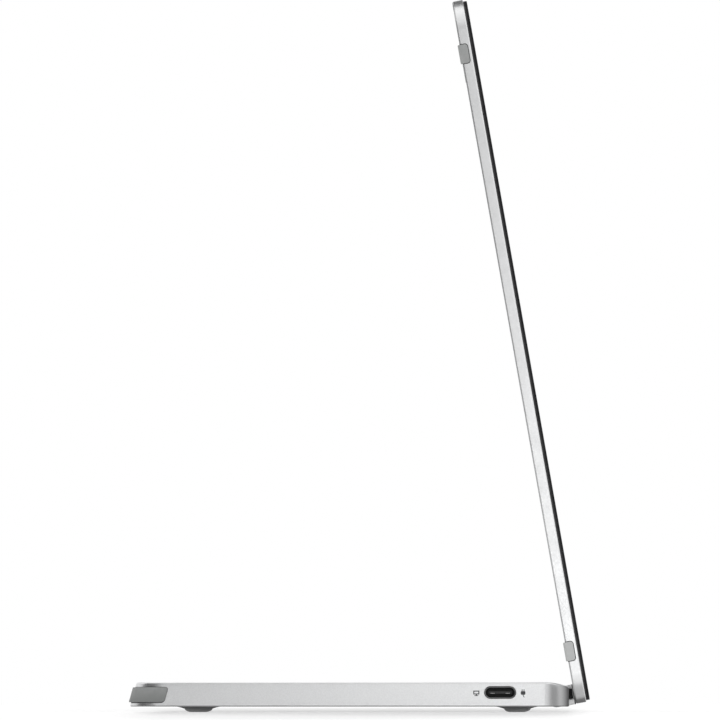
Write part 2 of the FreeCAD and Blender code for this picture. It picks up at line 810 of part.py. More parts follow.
# Switches, power key and brightness rocker on the right side
key_face = wall_face - S.key_gap
key_back = key_face - S.key_flange_thick
rocker_face = wall_face - S.rocker_gap
rocker_back = rocker_face - S.key_flange_thick
switch_levels = (board_top, board_top + S.switch_height)
switch_places = [
    (key_back - S.power_travel - S.key_gap, S.power_at),
    (rocker_back - S.rocker_switch_gap, S.rocker_at - S.switch_spread),
    (rocker_back - S.rocker_switch_gap, S.rocker_at + S.switch_spread),
]
keep("base", group("side_switches", *[
    block("switch_%d" % i, (x - S.switch_depth, x),
          (y - S.switch_width / 2, y + S.switch_width / 2), switch_levels)
    for i, (x, y) in enumerate(switch_places)
]))
key_levels = (port_z - S.key_flange_height / 2, port_z + S.key_flange_height / 2)
power_reach = S.power_width / 2 + S.key_flange_lap
keep("base", fuse(
    "power_button",
    slot("power_cap", (key_back, half_width + S.key_out), S.power_at, port_z, S.power_width, S.key_height),
    block("power_flange", (key_back, key_face),
          (S.power_at - power_reach, S.power_at + power_reach), key_levels),
))
pin_x = wall_face - S.rocker_pin_back
rocker_reach = S.rocker_width / 2 + S.key_flange_lap
keep("base", cut(
    "brightness_rocker",
    fuse(
        "rocker_form",
        slot("rocker_cap", (rocker_back, half_width + S.key_out),
             S.rocker_at, port_z, S.rocker_width, S.key_height),
        block("rocker_flange", (rocker_back, rocker_face),
              (S.rocker_at - rocker_reach, S.rocker_at + rocker_reach), key_levels),
        rod("rocker_lug", "z", S.rocker_lug_radius, key_levels[0], key_levels[1], x=pin_x, y=S.rocker_at),
    ),
    rod("rocker_hole", "z", S.rocker_pin_radius + S.running_gap, key_levels[0] - S.cut_over,
        key_levels[1] + S.cut_over, x=pin_x, y=S.rocker_at),
))
keep("base", group("rocker_pin", rod("rocker_pin_rod", "z", S.rocker_pin_radius, board_top, roof,
                                     x=pin_x, y=S.rocker_at)))

# Display levels, along y towards the screen and along z from the hinge axis
back_y = -axis_to_back
room_y = back_y - S.tray_back
front_y = back_y - S.housing_thick
frame_y = front_y - S.frame_thick
glass_y = frame_y - S.glass_thick
low_z = -S.axis_above_edge
high_z = low_z + S.display_height
panel_low = low_z + S.panel_from_bottom
panel_levels = (panel_low, high_z - S.panel_from_top)
panel_half = half_width - S.panel_from_side
bar_screw_places = [bar_half * share for share in BAR_SCREW_SHARES]
turn_x = -(shaft_inner - S.cable_end_gap - S.cable_turn)


def face(name, inset, near_y, far_y):
    """A plate of the display's outline, drawn in by an inset, with its four corners rounded."""
    outline = rectangle(even(half_width - inset), (low_z + inset, high_z - inset))
    made = prism(name, "XZ", outline, -near_y, -far_y)
    round_edges(made, S.display_corner - inset, lambda box: near(box.XLength, 0) and near(box.ZLength, 0))
    return made


# Edge pads: angle pieces let into the long edges of the display
def pad(name, side, low, gap):
    span = [
        (half_width - S.pad_wrap - gap, back_y - S.pad_sunk_back),
        (half_width - S.pad_sunk_side, back_y - S.pad_sunk_back),
        (half_width - S.pad_sunk_side, back_y - S.pad_reach - gap),
        (half_width + S.pad_out_side, back_y - S.pad_reach - gap),
        (half_width + S.pad_out_side, back_y + S.pad_out_back),
        (half_width - S.pad_wrap - gap, back_y + S.pad_out_back),
    ]
    made = prism(name, "XY", [(side * x, y) for x, y in span], low - gap, low + S.pad_length + gap)
    front = back_y - S.pad_reach - gap
    round_edges(made, S.pad_round, lambda box: near(box.YMax, front) and box.XLength > SAME_PLACE)
    return made


pad_lows = {
    "lower": low_z + S.pad_from_bottom - S.pad_length / 2,
    "upper": high_z - S.pad_from_top - S.pad_length / 2,
}
pad_pockets = []
for level, low in pad_lows.items():
    for name, side in (("left", -1), ("right", 1)):
        keep("display", pad("%s_%s_pad" % (level, name), side, low, 0))
        pad_pockets.append(pad("%s_%s_pad_pocket" % (level, name), side, low, S.fit_gap))

# Display tray
tray = face("tray_outer", 0, back_y, front_y)
round_edges(tray, S.back_edge, lambda box: near(box.YMin, back_y), "Chamfer")
round_edges(tray, S.front_edge, lambda box: near(box.YMax, front_y))
tray_room = face("tray_room", S.tray_side, room_y, front_y - S.cut_over)
lip = block("tray_lip", even(half_width - S.lip_from_side), (front_y, front_y + S.lip_thick),
            (high_z - S.lip_rise, high_z + S.lip_rise))
tray_holes = [
    rod("tray_hole_%d" % i, "y", S.pilot_radius, room_y - S.cut_over, back_y + S.cut_over,
        x=x, z=S.bar_screw_rise)
    for i, x in enumerate(bar_screw_places)
]
tray_holes.append(rod("tray_cable_hole", "y", S.cable_hole_radius,
                      room_y - S.cut_over, back_y + S.cut_over, x=turn_x))
tray_hollow = cut("tray_hollow", tray, tray_room, *pad_pockets, *tray_holes)
keep("display", fuse("display_back_cover", tray_hollow, lip))

# Glass, frame and screen stack
glass = face("front_glass", S.glass_inset, frame_y, glass_y)
round_edges(glass, S.glass_edge, lambda box: near(box.YMax, glass_y))
keep("display", glass)
keep("display", cut(
    "glass_frame",
    face("frame_sheet", S.glass_inset, front_y, frame_y),
    block("frame_window", even(panel_half + S.fit_gap), (frame_y - S.cut_over, front_y + S.cut_over),
          (panel_levels[0] - S.fit_gap, panel_levels[1] + S.fit_gap)),
))
lcd_back = frame_y + S.lcd_thick
light_back = lcd_back + S.backlight_thick
panel_outline = rectangle(even(panel_half), panel_levels)
keep("display", prism("lcd_panel", "XZ", panel_outline, -lcd_back, -frame_y))
keep("display", prism("backlight_unit", "XZ", panel_outline, -light_back, -lcd_back))
keep("display", prism("backlight_led_strip", "XZ",
                      rectangle(even(panel_half - S.tape_width / 2), (panel_low - S.led_height, panel_low)),
                      -light_back, -lcd_back))
keep("display", group("panel_tapes", *[
    block("tape_%d" % i, (panel_half * share - S.tape_width / 2, panel_half * share + S.tape_width / 2),
          (light_back, room_y), (panel_levels[0] + S.tape_width, panel_levels[1] - S.tape_width))
    for i, share in enumerate(TAPE_SHARES)
]))
driver_back = front_y + S.board_thick
driver_levels = (S.driver_above_axis, S.driver_above_axis + S.driver_height)
cable_y = (driver_back + room_y) / 2
keep("display", fuse(
    "panel_driver_board",
    block("driver_sheet", even(half_width - S.driver_from_side), (front_y, driver_back), driver_levels),
    block("driver_socket", (turn_x - S.driver_socket_half, turn_x + S.driver_socket_half),
          (driver_back - S.board_thick / 2, cable_y + S.cable_radius),
          (driver_levels[0] + S.driver_socket_lift, driver_levels[1])),
))

# Hinge bar with its caps, friction sleeves, screws and cable
bar = prism("bar_form", "YZ", [
    (back_y, -S.bar_radius),
    (0, -S.bar_radius),
    (S.bar_radius, 0, 0, 0),
    (0, S.bar_radius, 0, 0),
    (back_y, S.bar_radius),
], -bar_half, bar_half)
bar_cuts = [
    rod("bar_bore", "x", S.sleeve_radius, -(bar_half + S.cut_over), bar_half + S.cut_over),
    rod("bar_cable_hole", "y", S.cable_hole_radius, back_y - S.cut_over, 0, x=turn_x),
]
bar_cuts += [
    rod("bar_hole_%d" % i, "y", S.pilot_radius, back_y - S.cut_over, back_y + S.shank_length + S.fit_gap,
        x=x, z=S.bar_screw_rise)
    for i, x in enumerate(bar_screw_places)
]
cap_levels = (S.cap_rise - S.cap_half_height, S.cap_rise + S.cap_half_height)
for name, side in (("left", -1), ("right", 1)):
    span = sign_span(side, bar_half - S.cap_depth, bar_half)
    over_span = sign_span(side, bar_half - S.cap_depth, bar_half + S.cut_over)
    bar_cuts.append(block(name + "_cap_pocket", over_span, (back_y + S.cap_wall, 0), cap_levels))
    keep("display", cut(
        name + "_bar_cap",
        fuse(
            name + "_cap_form",
            block(name + "_cap_body", span, (back_y + S.cap_wall + S.press_gap, 0),
                  (cap_levels[0] + S.press_gap, cap_levels[1] - S.press_gap)),
            rod(name + "_cap_ring", "x", S.sleeve_radius - S.press_gap, span[0], span[1]),
        ),
        rod(name + "_cap_hole", "x", S.shaft_radius + S.fit_gap, span[0] - S.cut_over, span[1] + S.cut_over),
    ))
    span = sign_span(side, shaft_inner, bar_half - S.cap_depth)
    keep("display", cut(
        name + "_friction_sleeve",
        rod(name + "_sleeve_rod", "x", S.sleeve_radius - S.press_gap, span[0], span[1]),
        rod(name + "_sleeve_bore", "x", S.shaft_radius + S.running_gap,
            span[0] - S.cut_over, span[1] + S.cut_over),
    ))
keep("display", cut("hinge_bar", bar, *bar_cuts))
keep("display", group("bar_screws", *[
    screw("bar_screw_%d" % i, "y", room_y, S.tray_back, x=x, z=S.bar_screw_rise)
    for i, x in enumerate(bar_screw_places)
]))
keep("display", tube("panel_cable", [
    (-(shaft_inner - S.cable_end_gap), 0, 0),
    (turn_x, 0, 0),
    (turn_x, cable_y, 0),
    (turn_x, cable_y, driver_levels[0] + S.driver_socket_lift),
], S.cable_bend, S.cable_radius))

# World places: origin on the desk under the middle of the unit
screen_reach = -glass_y * cosine(S.lean_angle) + (S.axis_above_edge - S.glass_inset) * sine(S.lean_angle)
base_reach = end_at(S.bumper_low) + S.bumper_out
base_y = (screen_reach - S.axis_from_end - base_reach) / 2
hinge_y = base_y + S.axis_from_end
hinge_z = S.foot_height + axis_z
doc.recompute()
for piece in PIECES["base"]:
    piece.Label = piece.Name
    bind(piece, "Placement.Base.y", base_y)
    bind(piece, "Placement.Base.z", S.foot_height)
lean = FreeCAD.Rotation(FreeCAD.Vector(-1, 0, 0), S.lean_angle.value)
for piece in PIECES["display"]:
    piece.Label = piece.Name
    piece.Placement = FreeCAD.Placement(FreeCAD.Vector(), lean)
    bind(piece, "Placement.Rotation.Angle", S.lean_angle)
    bind(piece, "Placement.Base.y", hinge_y)
    bind(piece, "Placement.Base.z", hinge_z)
doc.recompute()

# Every object is sound before any file is written
for thing in doc.Objects:
    if "Invalid" in thing.State or "Error" in thing.State:
        raise RuntimeError("%s is not sound: %s" % (thing.Name, thing.State))
finished = PIECES["base"] + PIECES["display"]
for piece in finished:
    if piece.Shape.isNull() or not piece.Shape.isValid():
        raise RuntimeError("%s has no valid shape" % piece.Label)
os.makedirs("parts", exist_ok=True)
for piece in finished:
    piece.Shape.exportStep("parts/%s.step" % piece.Label)
print("hinge axis at y %.4f, z %.4f" % (hinge_y.value, hinge_z.value))
print("%d pieces" % len(finished))
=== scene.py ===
import json
import math

import bmesh
import bpy
import numpy as np
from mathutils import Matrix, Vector


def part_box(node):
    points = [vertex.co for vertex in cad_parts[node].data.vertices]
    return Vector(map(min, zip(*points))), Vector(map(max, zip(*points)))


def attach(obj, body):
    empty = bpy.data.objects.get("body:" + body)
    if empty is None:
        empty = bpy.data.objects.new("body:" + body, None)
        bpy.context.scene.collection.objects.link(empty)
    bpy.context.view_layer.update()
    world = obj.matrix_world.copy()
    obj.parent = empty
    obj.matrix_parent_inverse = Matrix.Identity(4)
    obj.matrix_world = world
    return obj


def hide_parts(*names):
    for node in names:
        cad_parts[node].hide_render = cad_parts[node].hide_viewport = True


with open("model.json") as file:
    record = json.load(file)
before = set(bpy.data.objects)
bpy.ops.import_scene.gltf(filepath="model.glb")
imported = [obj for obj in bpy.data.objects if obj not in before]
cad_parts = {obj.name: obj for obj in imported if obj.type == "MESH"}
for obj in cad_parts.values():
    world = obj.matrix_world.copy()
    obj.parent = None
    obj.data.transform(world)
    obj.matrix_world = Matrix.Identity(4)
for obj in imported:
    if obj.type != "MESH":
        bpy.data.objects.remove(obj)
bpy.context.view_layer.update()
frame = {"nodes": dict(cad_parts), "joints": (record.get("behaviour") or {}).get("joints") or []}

# Slim monitor: a display that turns on a bar hinged into a flat base.
# Lengths are in millimetres, apart from the lamps' places, until Blender needs metres.
# Base frame: x across, y from the hinge end to the free end, z up from the underside.
# Display frame: display upright, origin on the hinge axis, screen towards -y.
MM = 0.001
LEAN = math.radians(10)
tilt = next(joint for joint in frame["joints"] if joint["name"] == "display_tilt")
hinge = np.array(tilt["pos_m"]) / MM
base_origin = np.array(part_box("base_shell")[0]) / MM * [0, 1, 1]


def on_base(points):
    """Base frame to the common frame: a shift to the casing's hinge end and underside."""
    return points + base_origin


def on_display(points):
    """Display frame to the common frame: turned back by the lean about x, then set on the hinge."""
    x, y, z = np.moveaxis(points, -1, 0)
    back = y * math.cos(LEAN) + z * math.sin(LEAN)
    up = z * math.cos(LEAN) - y * math.sin(LEAN)
    return np.stack([x, back, up], -1) + hinge


def solid_points(node):
    """Corner points of one solid of the frame, in millimetres."""
    corners = frame["nodes"][node].data.vertices
    flat = np.empty(len(corners) * 3, np.float32)
    corners.foreach_get("co", flat)
    return flat.reshape(-1, 3).astype(float) / MM


def base_extent(node):
    """Lowest and highest corner of a solid in the base frame."""
    points = solid_points(node) - base_origin
    return points.min(0), points.max(0)


def display_extent(node):
    """Lowest and highest corner of a solid in the display frame: the lean undone about the hinge."""
    x, y, z = np.moveaxis(solid_points(node) - hinge, -1, 0)
    back = y * math.cos(LEAN) - z * math.sin(LEAN)
    up = y * math.sin(LEAN) + z * math.cos(LEAN)
    points = np.stack([x, back, up], -1)
    return points.min(0), points.max(0)


# Grids of points
WELD = 1e-3
SHARP_ANGLE = math.radians(38)
CORNER_STEPS = 15
EDGE_STEPS = 6


def arc(centre, radius, start, stop, steps):
    """Points on a circle: the centre plus radius times cosine and sine of angles from start to stop."""
    angle = np.radians(np.linspace(start, stop, steps))
    return np.stack([centre[0] + radius * np.cos(angle), centre[1] + radius * np.sin(angle)], -1)


def mirrored(half):
    """A closed outline from its right half: the half, then its mirror image in reverse order."""
    return np.vstack([half, half[::-1] * [-1, 1]])


def across(half):
    """A sheet that closes a symmetric outline: straight rows from each point's mirror image to it."""
    return np.stack([half * [-1, 1], half], 1)


def raised(outline, height):
    """Outline points with a height, the same or one for each, as a third coordinate."""
    level = np.broadcast_to(np.asarray(height, float), outline.shape[:-1])
    return np.concatenate([outline, level[..., None]], -1)


def round_edge(inset, height, radius, out=1):
    """Levels of a quarter round, as (inset, height): the inset grows from the given one by the radius
    times one minus cosine, and the height comes up to the given one by the radius times one minus sine,
    from below, or from above where out is negative."""
    angle = np.linspace(0, math.pi / 2, EDGE_STEPS)
    insets = inset + radius * (1 - np.cos(angle))
    heights = height - out * radius * (1 - np.sin(angle))
    return list(zip(insets, heights))


def rounded_half(half, low, high, radius, inset=0.0, stops=2):
    """Right half of a rounded rectangle drawn in by an inset: lower arc, side with evenly spaced stops,
    upper arc; the arcs keep their centres and lose the inset from their radius."""
    side = np.linspace(low + radius, high - radius, stops + 2)[1:-1]
    return np.vstack([
        arc((half - radius, low + radius), radius - inset, -90, 0, CORNER_STEPS),
        np.stack([np.full(stops, half - inset), side], -1),
        arc((half - radius, high - radius), radius - inset, 0, 90, CORNER_STEPS),
    ])


def stadium_half(half_length, half_width, inset=0.0):
    """Right half of a long outline with round ends: a half circle whose radius loses the inset."""
    return arc((half_length - half_width, 0), half_width - inset, -90, 90, CORNER_STEPS * 2 - 1)


def quads(rows, columns, closed_rows=False, closed_columns=False):
    """Corner numbers of a grid's quads, by row and column; a closed direction joins last to first."""
    number = np.arange(rows * columns).reshape(rows, columns)
    if closed_rows:
        number = np.vstack([number, number[:1]])
    if closed_columns:
        number = np.hstack([number, number[:, :1]])
    return np.stack([number[:-1, :-1], number[:-1, 1:], number[1:, 1:], number[1:, :-1]], -1)


def skin(grid, closed_rows=False, closed_columns=False, kept=None, wear_and_shade=None):
    """One sheet of a piece: grid points, the quads kept between them, and each point's level: wear
    above zero, painted shade below zero.
    """
    rows, columns = grid.shape[:2]
    faces = quads(rows, columns, closed_rows, closed_columns)
    faces = faces.reshape(-1, 4) if kept is None else faces[kept]
    wear_and_shade_level = np.zeros((rows, columns)) if wear_and_shade is None else np.broadcast_to(wear_and_shade, (rows, columns))
    return grid.reshape(-1, 3), faces, wear_and_shade_level.reshape(-1)


def outlines(half_at, levels):
    """Rings of an outline, one for each (inset, height) level."""
    return np.stack([raised(mirrored(half_at(inset)), height) for inset, height in levels])


def stack(half_at, levels, wear_and_shade=None):
    """A closed body of rings: the outline of each level, with sheets across both ends."""
    ends = [skin(raised(across(half_at(inset)), height)) for inset, height in (levels[0], levels[-1])]
    wear_and_shade_level = None if wear_and_shade is None else np.asarray(wear_and_shade, float)[:, None]
    return [skin(outlines(half_at, levels), closed_columns=True, wear_and_shade=wear_and_shade_level)] + ends


def hoop(half_at, levels):
    """A closed band: the outlines of the levels, joined round from the last to the first."""
    return [skin(outlines(half_at, levels), closed_rows=True, closed_columns=True)]


def turned(skins, change):
    """The same sheets with a change of coordinates applied to their points."""
    return [(change(points), faces, wear_and_shade) for points, faces, wear_and_shade in skins]


def piece(name, body, finish, skins, place=on_base, stands_for=()):
    """One mesh piece from its sheets: points stacked, placed and welded, faces turned outwards,
    flat faces kept flat beside round edges, then set on its body."""
    sheets, corners, wear_and_shade = zip(*skins)
    starts = np.cumsum([0] + [len(sheet) for sheet in sheets])
    points = place(np.vstack(sheets)) * MM
    faces = np.vstack([corner + start for corner, start in zip(corners, starts)])
    mesh = bpy.data.meshes.new(name)
    mesh.from_pydata(points.tolist(), [], faces.tolist())
    wear_and_shade_level = mesh.attributes.new("wear_and_shade", "FLOAT", "POINT")
    wear_and_shade_level.data.foreach_set("value", np.concatenate(wear_and_shade).astype(np.float32))
    work = bmesh.new()
    work.from_mesh(mesh)
    bmesh.ops.remove_doubles(work, verts=work.verts, dist=WELD * MM)
    bmesh.ops.recalc_face_normals(work, faces=work.faces)
    work.to_mesh(mesh)
    work.free()
    mesh.shade_smooth()
    mesh.set_sharp_from_angle(angle=SHARP_ANGLE)
    made = bpy.data.objects.new(name, mesh)
    bpy.context.scene.collection.objects.link(made)
    mesh.materials.append(finish)
    flats = made.modifiers.new("flat_faces", "WEIGHTED_NORMAL")
    flats.keep_sharp = True
    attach(made, body)
    if stands_for:
        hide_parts(*stands_for)
    return made


# Finishes
class Finish:
    """A procedural finish: noise on the piece's own coordinates drives colour, roughness and relief."""

    def __init__(self, name, **sockets):
        self.material = bpy.data.materials.new(name)
        self.material.use_nodes = True
        self.nodes = self.material.node_tree.nodes
        self.shader = self.nodes["Principled BSDF"]
        self.place = self.node("ShaderNodeTexCoord").outputs["Object"]
        for socket, value in sockets.items():
            self.shader.inputs[socket.replace("_", " ")].default_value = value

    def node(self, kind, **inputs):
        """A node of one kind with its inputs linked or set."""
        made = self.nodes.new(kind)
        for socket, value in inputs.items():
            self.join(value, made.inputs[socket.replace("_", " ")])
        return made

    def join(self, value, socket):
        """Link an output into a socket, or set a constant on it."""
        if isinstance(value, bpy.types.NodeSocket):
            self.material.node_tree.links.new(value, socket)
        else:
            socket.default_value = value

    def noise(self, size, detail=2.0, stretch=(1, 1, 1)):
        """Noise whose grains are about size millimetres across, longer along a stretched axis."""
        place = self.node("ShaderNodeMapping", Vector=self.place, Scale=tuple(1 / s for s in stretch))
        made = self.node("ShaderNodeTexNoise", Vector=place.outputs["Vector"], Scale=1 / (size * MM),
                         Detail=detail)
        return made.outputs["Fac"]

    def between(self, factor, low, high, start=0.3, stop=0.7):
        """The factor's range start to stop carried over to low to high."""
        made = self.node("ShaderNodeMapRange", Value=factor)
        for number, value in enumerate((start, stop, low, high), 1):
            made.inputs[number].default_value = value
        return made.outputs["Result"]

    def tones(self, factor, dark, light, start=0.3, stop=0.7):
        """A colour between dark and light."""
        made = self.node("ShaderNodeValToRGB", Fac=factor)
        for element, place, colour in zip(made.color_ramp.elements, (start, stop), (dark, light)):
            element.position = place
            element.color = (*colour, 1)
        return made.outputs["Color"]

    def mix(self, factor, first, second):
        """Second laid over first where the factor is one."""
        made = self.node("ShaderNodeMix")
        made.data_type = "RGBA"
        self.join(factor, made.inputs["Factor"])
        self.join(first, made.inputs[6])
        self.join(second, made.inputs[7])
        return made.outputs[2]

    def combine(self, kind, first, second):
        """One arithmetic step."""
        made = self.node("ShaderNodeMath")
        made.operation = kind
        self.join(first, made.inputs[0])
        self.join(second, made.inputs[1])
        return made.outputs[0]

    def along(self, axis):
        """The place along one axis of the piece's own coordinates."""
        return self.node("ShaderNodeSeparateXYZ", Vector=self.place).outputs[axis]

    def wear_and_shade_level(self):
        """The surface's wear above zero and painted shade below zero, from the mesh."""
        made = self.node("ShaderNodeAttribute")
        made.attribute_name = "wear_and_shade"
        return made.outputs["Fac"]

    def colour(self, value):
        """Colour of the surface."""
        self.join(value, self.shader.inputs["Base Color"])

    def roughness(self, value):
        """Roughness of the surface."""
        self.join(value, self.shader.inputs["Roughness"])

    def relief(self, factor, depth, strength=0.5):
        """Raise the surface by the factor, depth millimetres at most."""
        made = self.node("ShaderNodeBump", Height=factor, Distance=depth * MM, Strength=strength)
        self.join(made.outputs["Normal"], self.shader.inputs["Normal"])


GRAIN_SHARE = 0.55
POLISH_SMOOTHS = 0.12
POLISHED_METAL = (0.86, 0.862, 0.865, 1)
PAINTED_SHADE_METAL = (0.34, 0.34, 0.345, 1)


def blasted_aluminium():
    """Satin bead-blasted aluminium: two sizes of grain and a faint cloudy tone; polished by handling
    where the wear is above zero, and darkened towards a dull grey by painted shade where it is below."""
    made = Finish("blasted_aluminium", Metallic=1.0)
    cloud = made.tones(made.noise(size=45, detail=3), (0.70, 0.705, 0.71), (0.75, 0.755, 0.76))
    grain = made.noise(size=0.32, detail=4)
    dust = made.tones(grain, (0.67, 0.675, 0.68), (0.79, 0.795, 0.80))
    blasted = made.mix(GRAIN_SHARE, cloud, dust)
    rubbed_and_shaded = made.wear_and_shade_level()
    patchy = made.between(made.noise(size=3.5), 0.35, 0.8)
    polished = made.combine("MULTIPLY", made.between(rubbed_and_shaded, 0, 1, 0, 1), patchy)
    bright = made.mix(polished, blasted, POLISHED_METAL)
    # Painted shade: below zero the colour goes over to a dull dark grey
    made.colour(made.mix(made.between(rubbed_and_shaded, 1, 0, -1, 0), bright, PAINTED_SHADE_METAL))
    satin = made.between(made.noise(size=0.6, detail=3), 0.36, 0.44)
    made.roughness(made.combine("SUBTRACT", satin, made.combine("MULTIPLY", polished, POLISH_SMOOTHS)))
    made.relief(grain, depth=0.012, strength=0.35)
    return made.material


SOLE_EDGE = (0.03, 0.12)


def rubber(name, dark, light, painted_low_tone=None, span=(0, 1)):
    """Moulded rubber: matt skin with a fine pebble and faint bloom; towards the floor another tone may
    take over, along a span of heights, but not on a sole that stands on the floor: painted light where
    that tone is lighter, painted shade where it is darker."""
    made = Finish(name, Specular_IOR_Level=0.35)
    bloom = made.tones(made.noise(size=2.4, detail=4), dark, light)
    if painted_low_tone:
        height = made.along("Z")
        low, high = (place * MM for place in span)
        sole_low, sole_high = (place * MM for place in SOLE_EDGE)
        painted_low_share = made.combine("MULTIPLY", made.between(height, 1, 0, low, high),
                                  made.between(height, 0, 1, sole_low, sole_high))
        bloom = made.mix(painted_low_share, bloom, (*painted_low_tone, 1))
    made.colour(bloom)
    pebble = made.noise(size=0.22, detail=3)
    made.roughness(made.between(pebble, 0.58, 0.74))
    made.relief(pebble, depth=0.03, strength=0.4)
    return made.material


def black_plastic():
    """Moulded black plastic with a spark-eroded grain."""
    made = Finish("moulded_black_plastic")
    uneven = made.noise(size=1.1, detail=3)
    made.colour(made.tones(uneven, (0.012, 0.012, 0.013), (0.024, 0.024, 0.026)))
    spark = made.noise(size=0.18, detail=3)
    made.roughness(made.between(spark, 0.42, 0.6))
    made.relief(spark, depth=0.02, strength=0.3)
    return made.material


def drawn_steel(name, dark, light, low, high):
    """Drawn or turned steel: streaks along the width and a soft variation of polish."""
    made = Finish(name, Metallic=1.0)
    streaks = made.noise(size=0.12, detail=3, stretch=(30, 1, 1))
    made.colour(made.tones(streaks, dark, light))
    made.roughness(made.between(made.noise(size=0.8), low, high))
    made.relief(streaks, depth=0.004, strength=0.3)
    return made.material


def cover_glass(half, low, high):
    """Glossy cover glass over a black printed border, a faintly lighter dark screen inside it,
    and the softest trace of wiping on the surface."""
    made = Finish("cover_glass_black", IOR=1.52)
    upright = made.node("ShaderNodeMapping", Vector=made.place, Location=tuple(hinge * MM),
                        Rotation=(-LEAN, 0, 0))
    upright.vector_type = "TEXTURE"
    axes = made.node("ShaderNodeSeparateXYZ", Vector=upright.outputs["Vector"])
    beside = made.combine("ABSOLUTE", axes.outputs["X"], 0.0)
    inside = made.combine("LESS_THAN", beside, half * MM)
    above = made.combine("GREATER_THAN", axes.outputs["Z"], low * MM)
    below = made.combine("LESS_THAN", axes.outputs["Z"], high * MM)
    screen = made.combine("MULTIPLY", inside, made.combine("MULTIPLY", above, below))
    printed = made.tones(made.noise(size=4, detail=3), (0.0035, 0.0035, 0.004), (0.006, 0.006, 0.0065))
    dark_screen = made.tones(made.noise(size=0.4), (0.020, 0.021, 0.0245), (0.026, 0.027, 0.031))
    made.colour(made.mix(screen, printed, dark_screen))
    made.roughness(made.between(made.noise(size=28, detail=4), 0.045, 0.09))
    return made.material


def blackened_edge():
    """Ground edge of the glass, blackened: matt, with the faint streaks of the grinding."""
    made = Finish("blackened_glass_edge", Specular_IOR_Level=0.12)
    streaks = made.noise(size=0.2, detail=3, stretch=(1, 12, 12))
    made.colour(made.tones(streaks, (0.008, 0.008, 0.009), (0.016, 0.016, 0.017)))
    made.roughness(made.between(made.noise(size=0.3), 0.35, 0.5))
    return made.material


def circuit_board():
    """Solder mask over faint copper traces."""
    made = Finish("solder_mask", Roughness=0.35)
    traces = made.noise(size=0.7, stretch=(6, 1, 1))
    made.colour(made.tones(traces, (0.02, 0.09, 0.05), (0.05, 0.19, 0.11), 0.45, 0.55))
    made.relief(traces, depth=0.02, strength=0.3)
    return made.material


def pale_film(name, dark, light, low, high):
    """Smooth plastic film or sheet, cloudy in tone."""
    made = Finish(name)
    made.colour(made.tones(made.noise(size=5, detail=3), dark, light))
    made.roughness(made.between(made.noise(size=0.5), low, high))
    return made.material


def printed_ink():
    """Dark grey printing, a little uneven."""
    made = Finish("printed_ink")
    made.colour(made.tones(made.noise(size=0.15), (0.03, 0.03, 0.032), (0.06, 0.06, 0.062)))
    made.roughness(made.between(made.noise(size=0.3), 0.5, 0.7))
    return made.material


def painted_joint_shade():
    """Painted shade: dark joint round a rubber piece or behind the hinge bar, standing for the shadow
    in it.
    """
    made = Finish("joint_seam")
    made.colour(made.tones(made.noise(size=0.3), (0.03, 0.03, 0.031), (0.07, 0.07, 0.072)))
    made.roughness(made.between(made.noise(size=0.4), 0.6, 0.8))
    return made.material


panel_low, panel_high = display_extent("lcd_panel")
aluminium = blasted_aluminium()
finishes = {
    "case_aluminium": aluminium,
    # Painted light: the feet turn much lighter towards the floor, for the light the floor throws up
    # under the base.
    "foot_rubber": rubber("foot_rubber_dark", (0.28, 0.28, 0.283), (0.34, 0.34, 0.343),
                          painted_low_tone=(0.64, 0.64, 0.643), span=(0.4, 1.5)),
    # Painted shade: the bumpers turn darker towards their lower edge.
    "edge_rubber": rubber("edge_rubber_grey", (0.235, 0.241, 0.238), (0.275, 0.281, 0.278),
                          painted_low_tone=(0.185, 0.191, 0.188), span=(3.2, 7.4)),
    "circuit_board": circuit_board(),
    "black_plastic": black_plastic(),
    "ribbon_plastic": pale_film("ribbon_film", (0.66, 0.67, 0.69), (0.78, 0.79, 0.81), 0.35, 0.5),
    "socket_steel": drawn_steel("socket_nickel", (0.15, 0.15, 0.155), (0.24, 0.24, 0.245), 0.3, 0.4),
    "hinge_steel": drawn_steel("turned_steel", (0.48, 0.48, 0.49), (0.6, 0.6, 0.61), 0.25, 0.4),
    "cable_sheath": rubber("cable_sheath_black", (0.022, 0.022, 0.022), (0.036, 0.036, 0.036)),
    "cover_glass": cover_glass(panel_high[0], panel_low[2], panel_high[2]),
    "screen_glass": pale_film("screen_layers", (0.016, 0.017, 0.02), (0.024, 0.025, 0.03), 0.08, 0.16),
    "light_guide": pale_film("light_guide_sheet", (0.80, 0.81, 0.82), (0.88, 0.89, 0.9), 0.2, 0.35),
}
# Painted light: the display's pads get a lighter copy of the edge rubber, lighter still low on the
# display, for the light that falls there.
lit_pad_rubber = rubber("pad_rubber_painted_light", (0.28, 0.286, 0.283), (0.33, 0.336, 0.333),
                    painted_low_tone=(0.455, 0.461, 0.458), span=(20, 150))
contact_metal = drawn_steel("contact_metal", (0.3, 0.3, 0.3), (0.4, 0.4, 0.4), 0.25, 0.35)
ink = printed_ink()
joint_shade = painted_joint_shade()
for node in frame["nodes"].values():
    for place in node.material_slots:
        place.material = finishes[place.material.name]

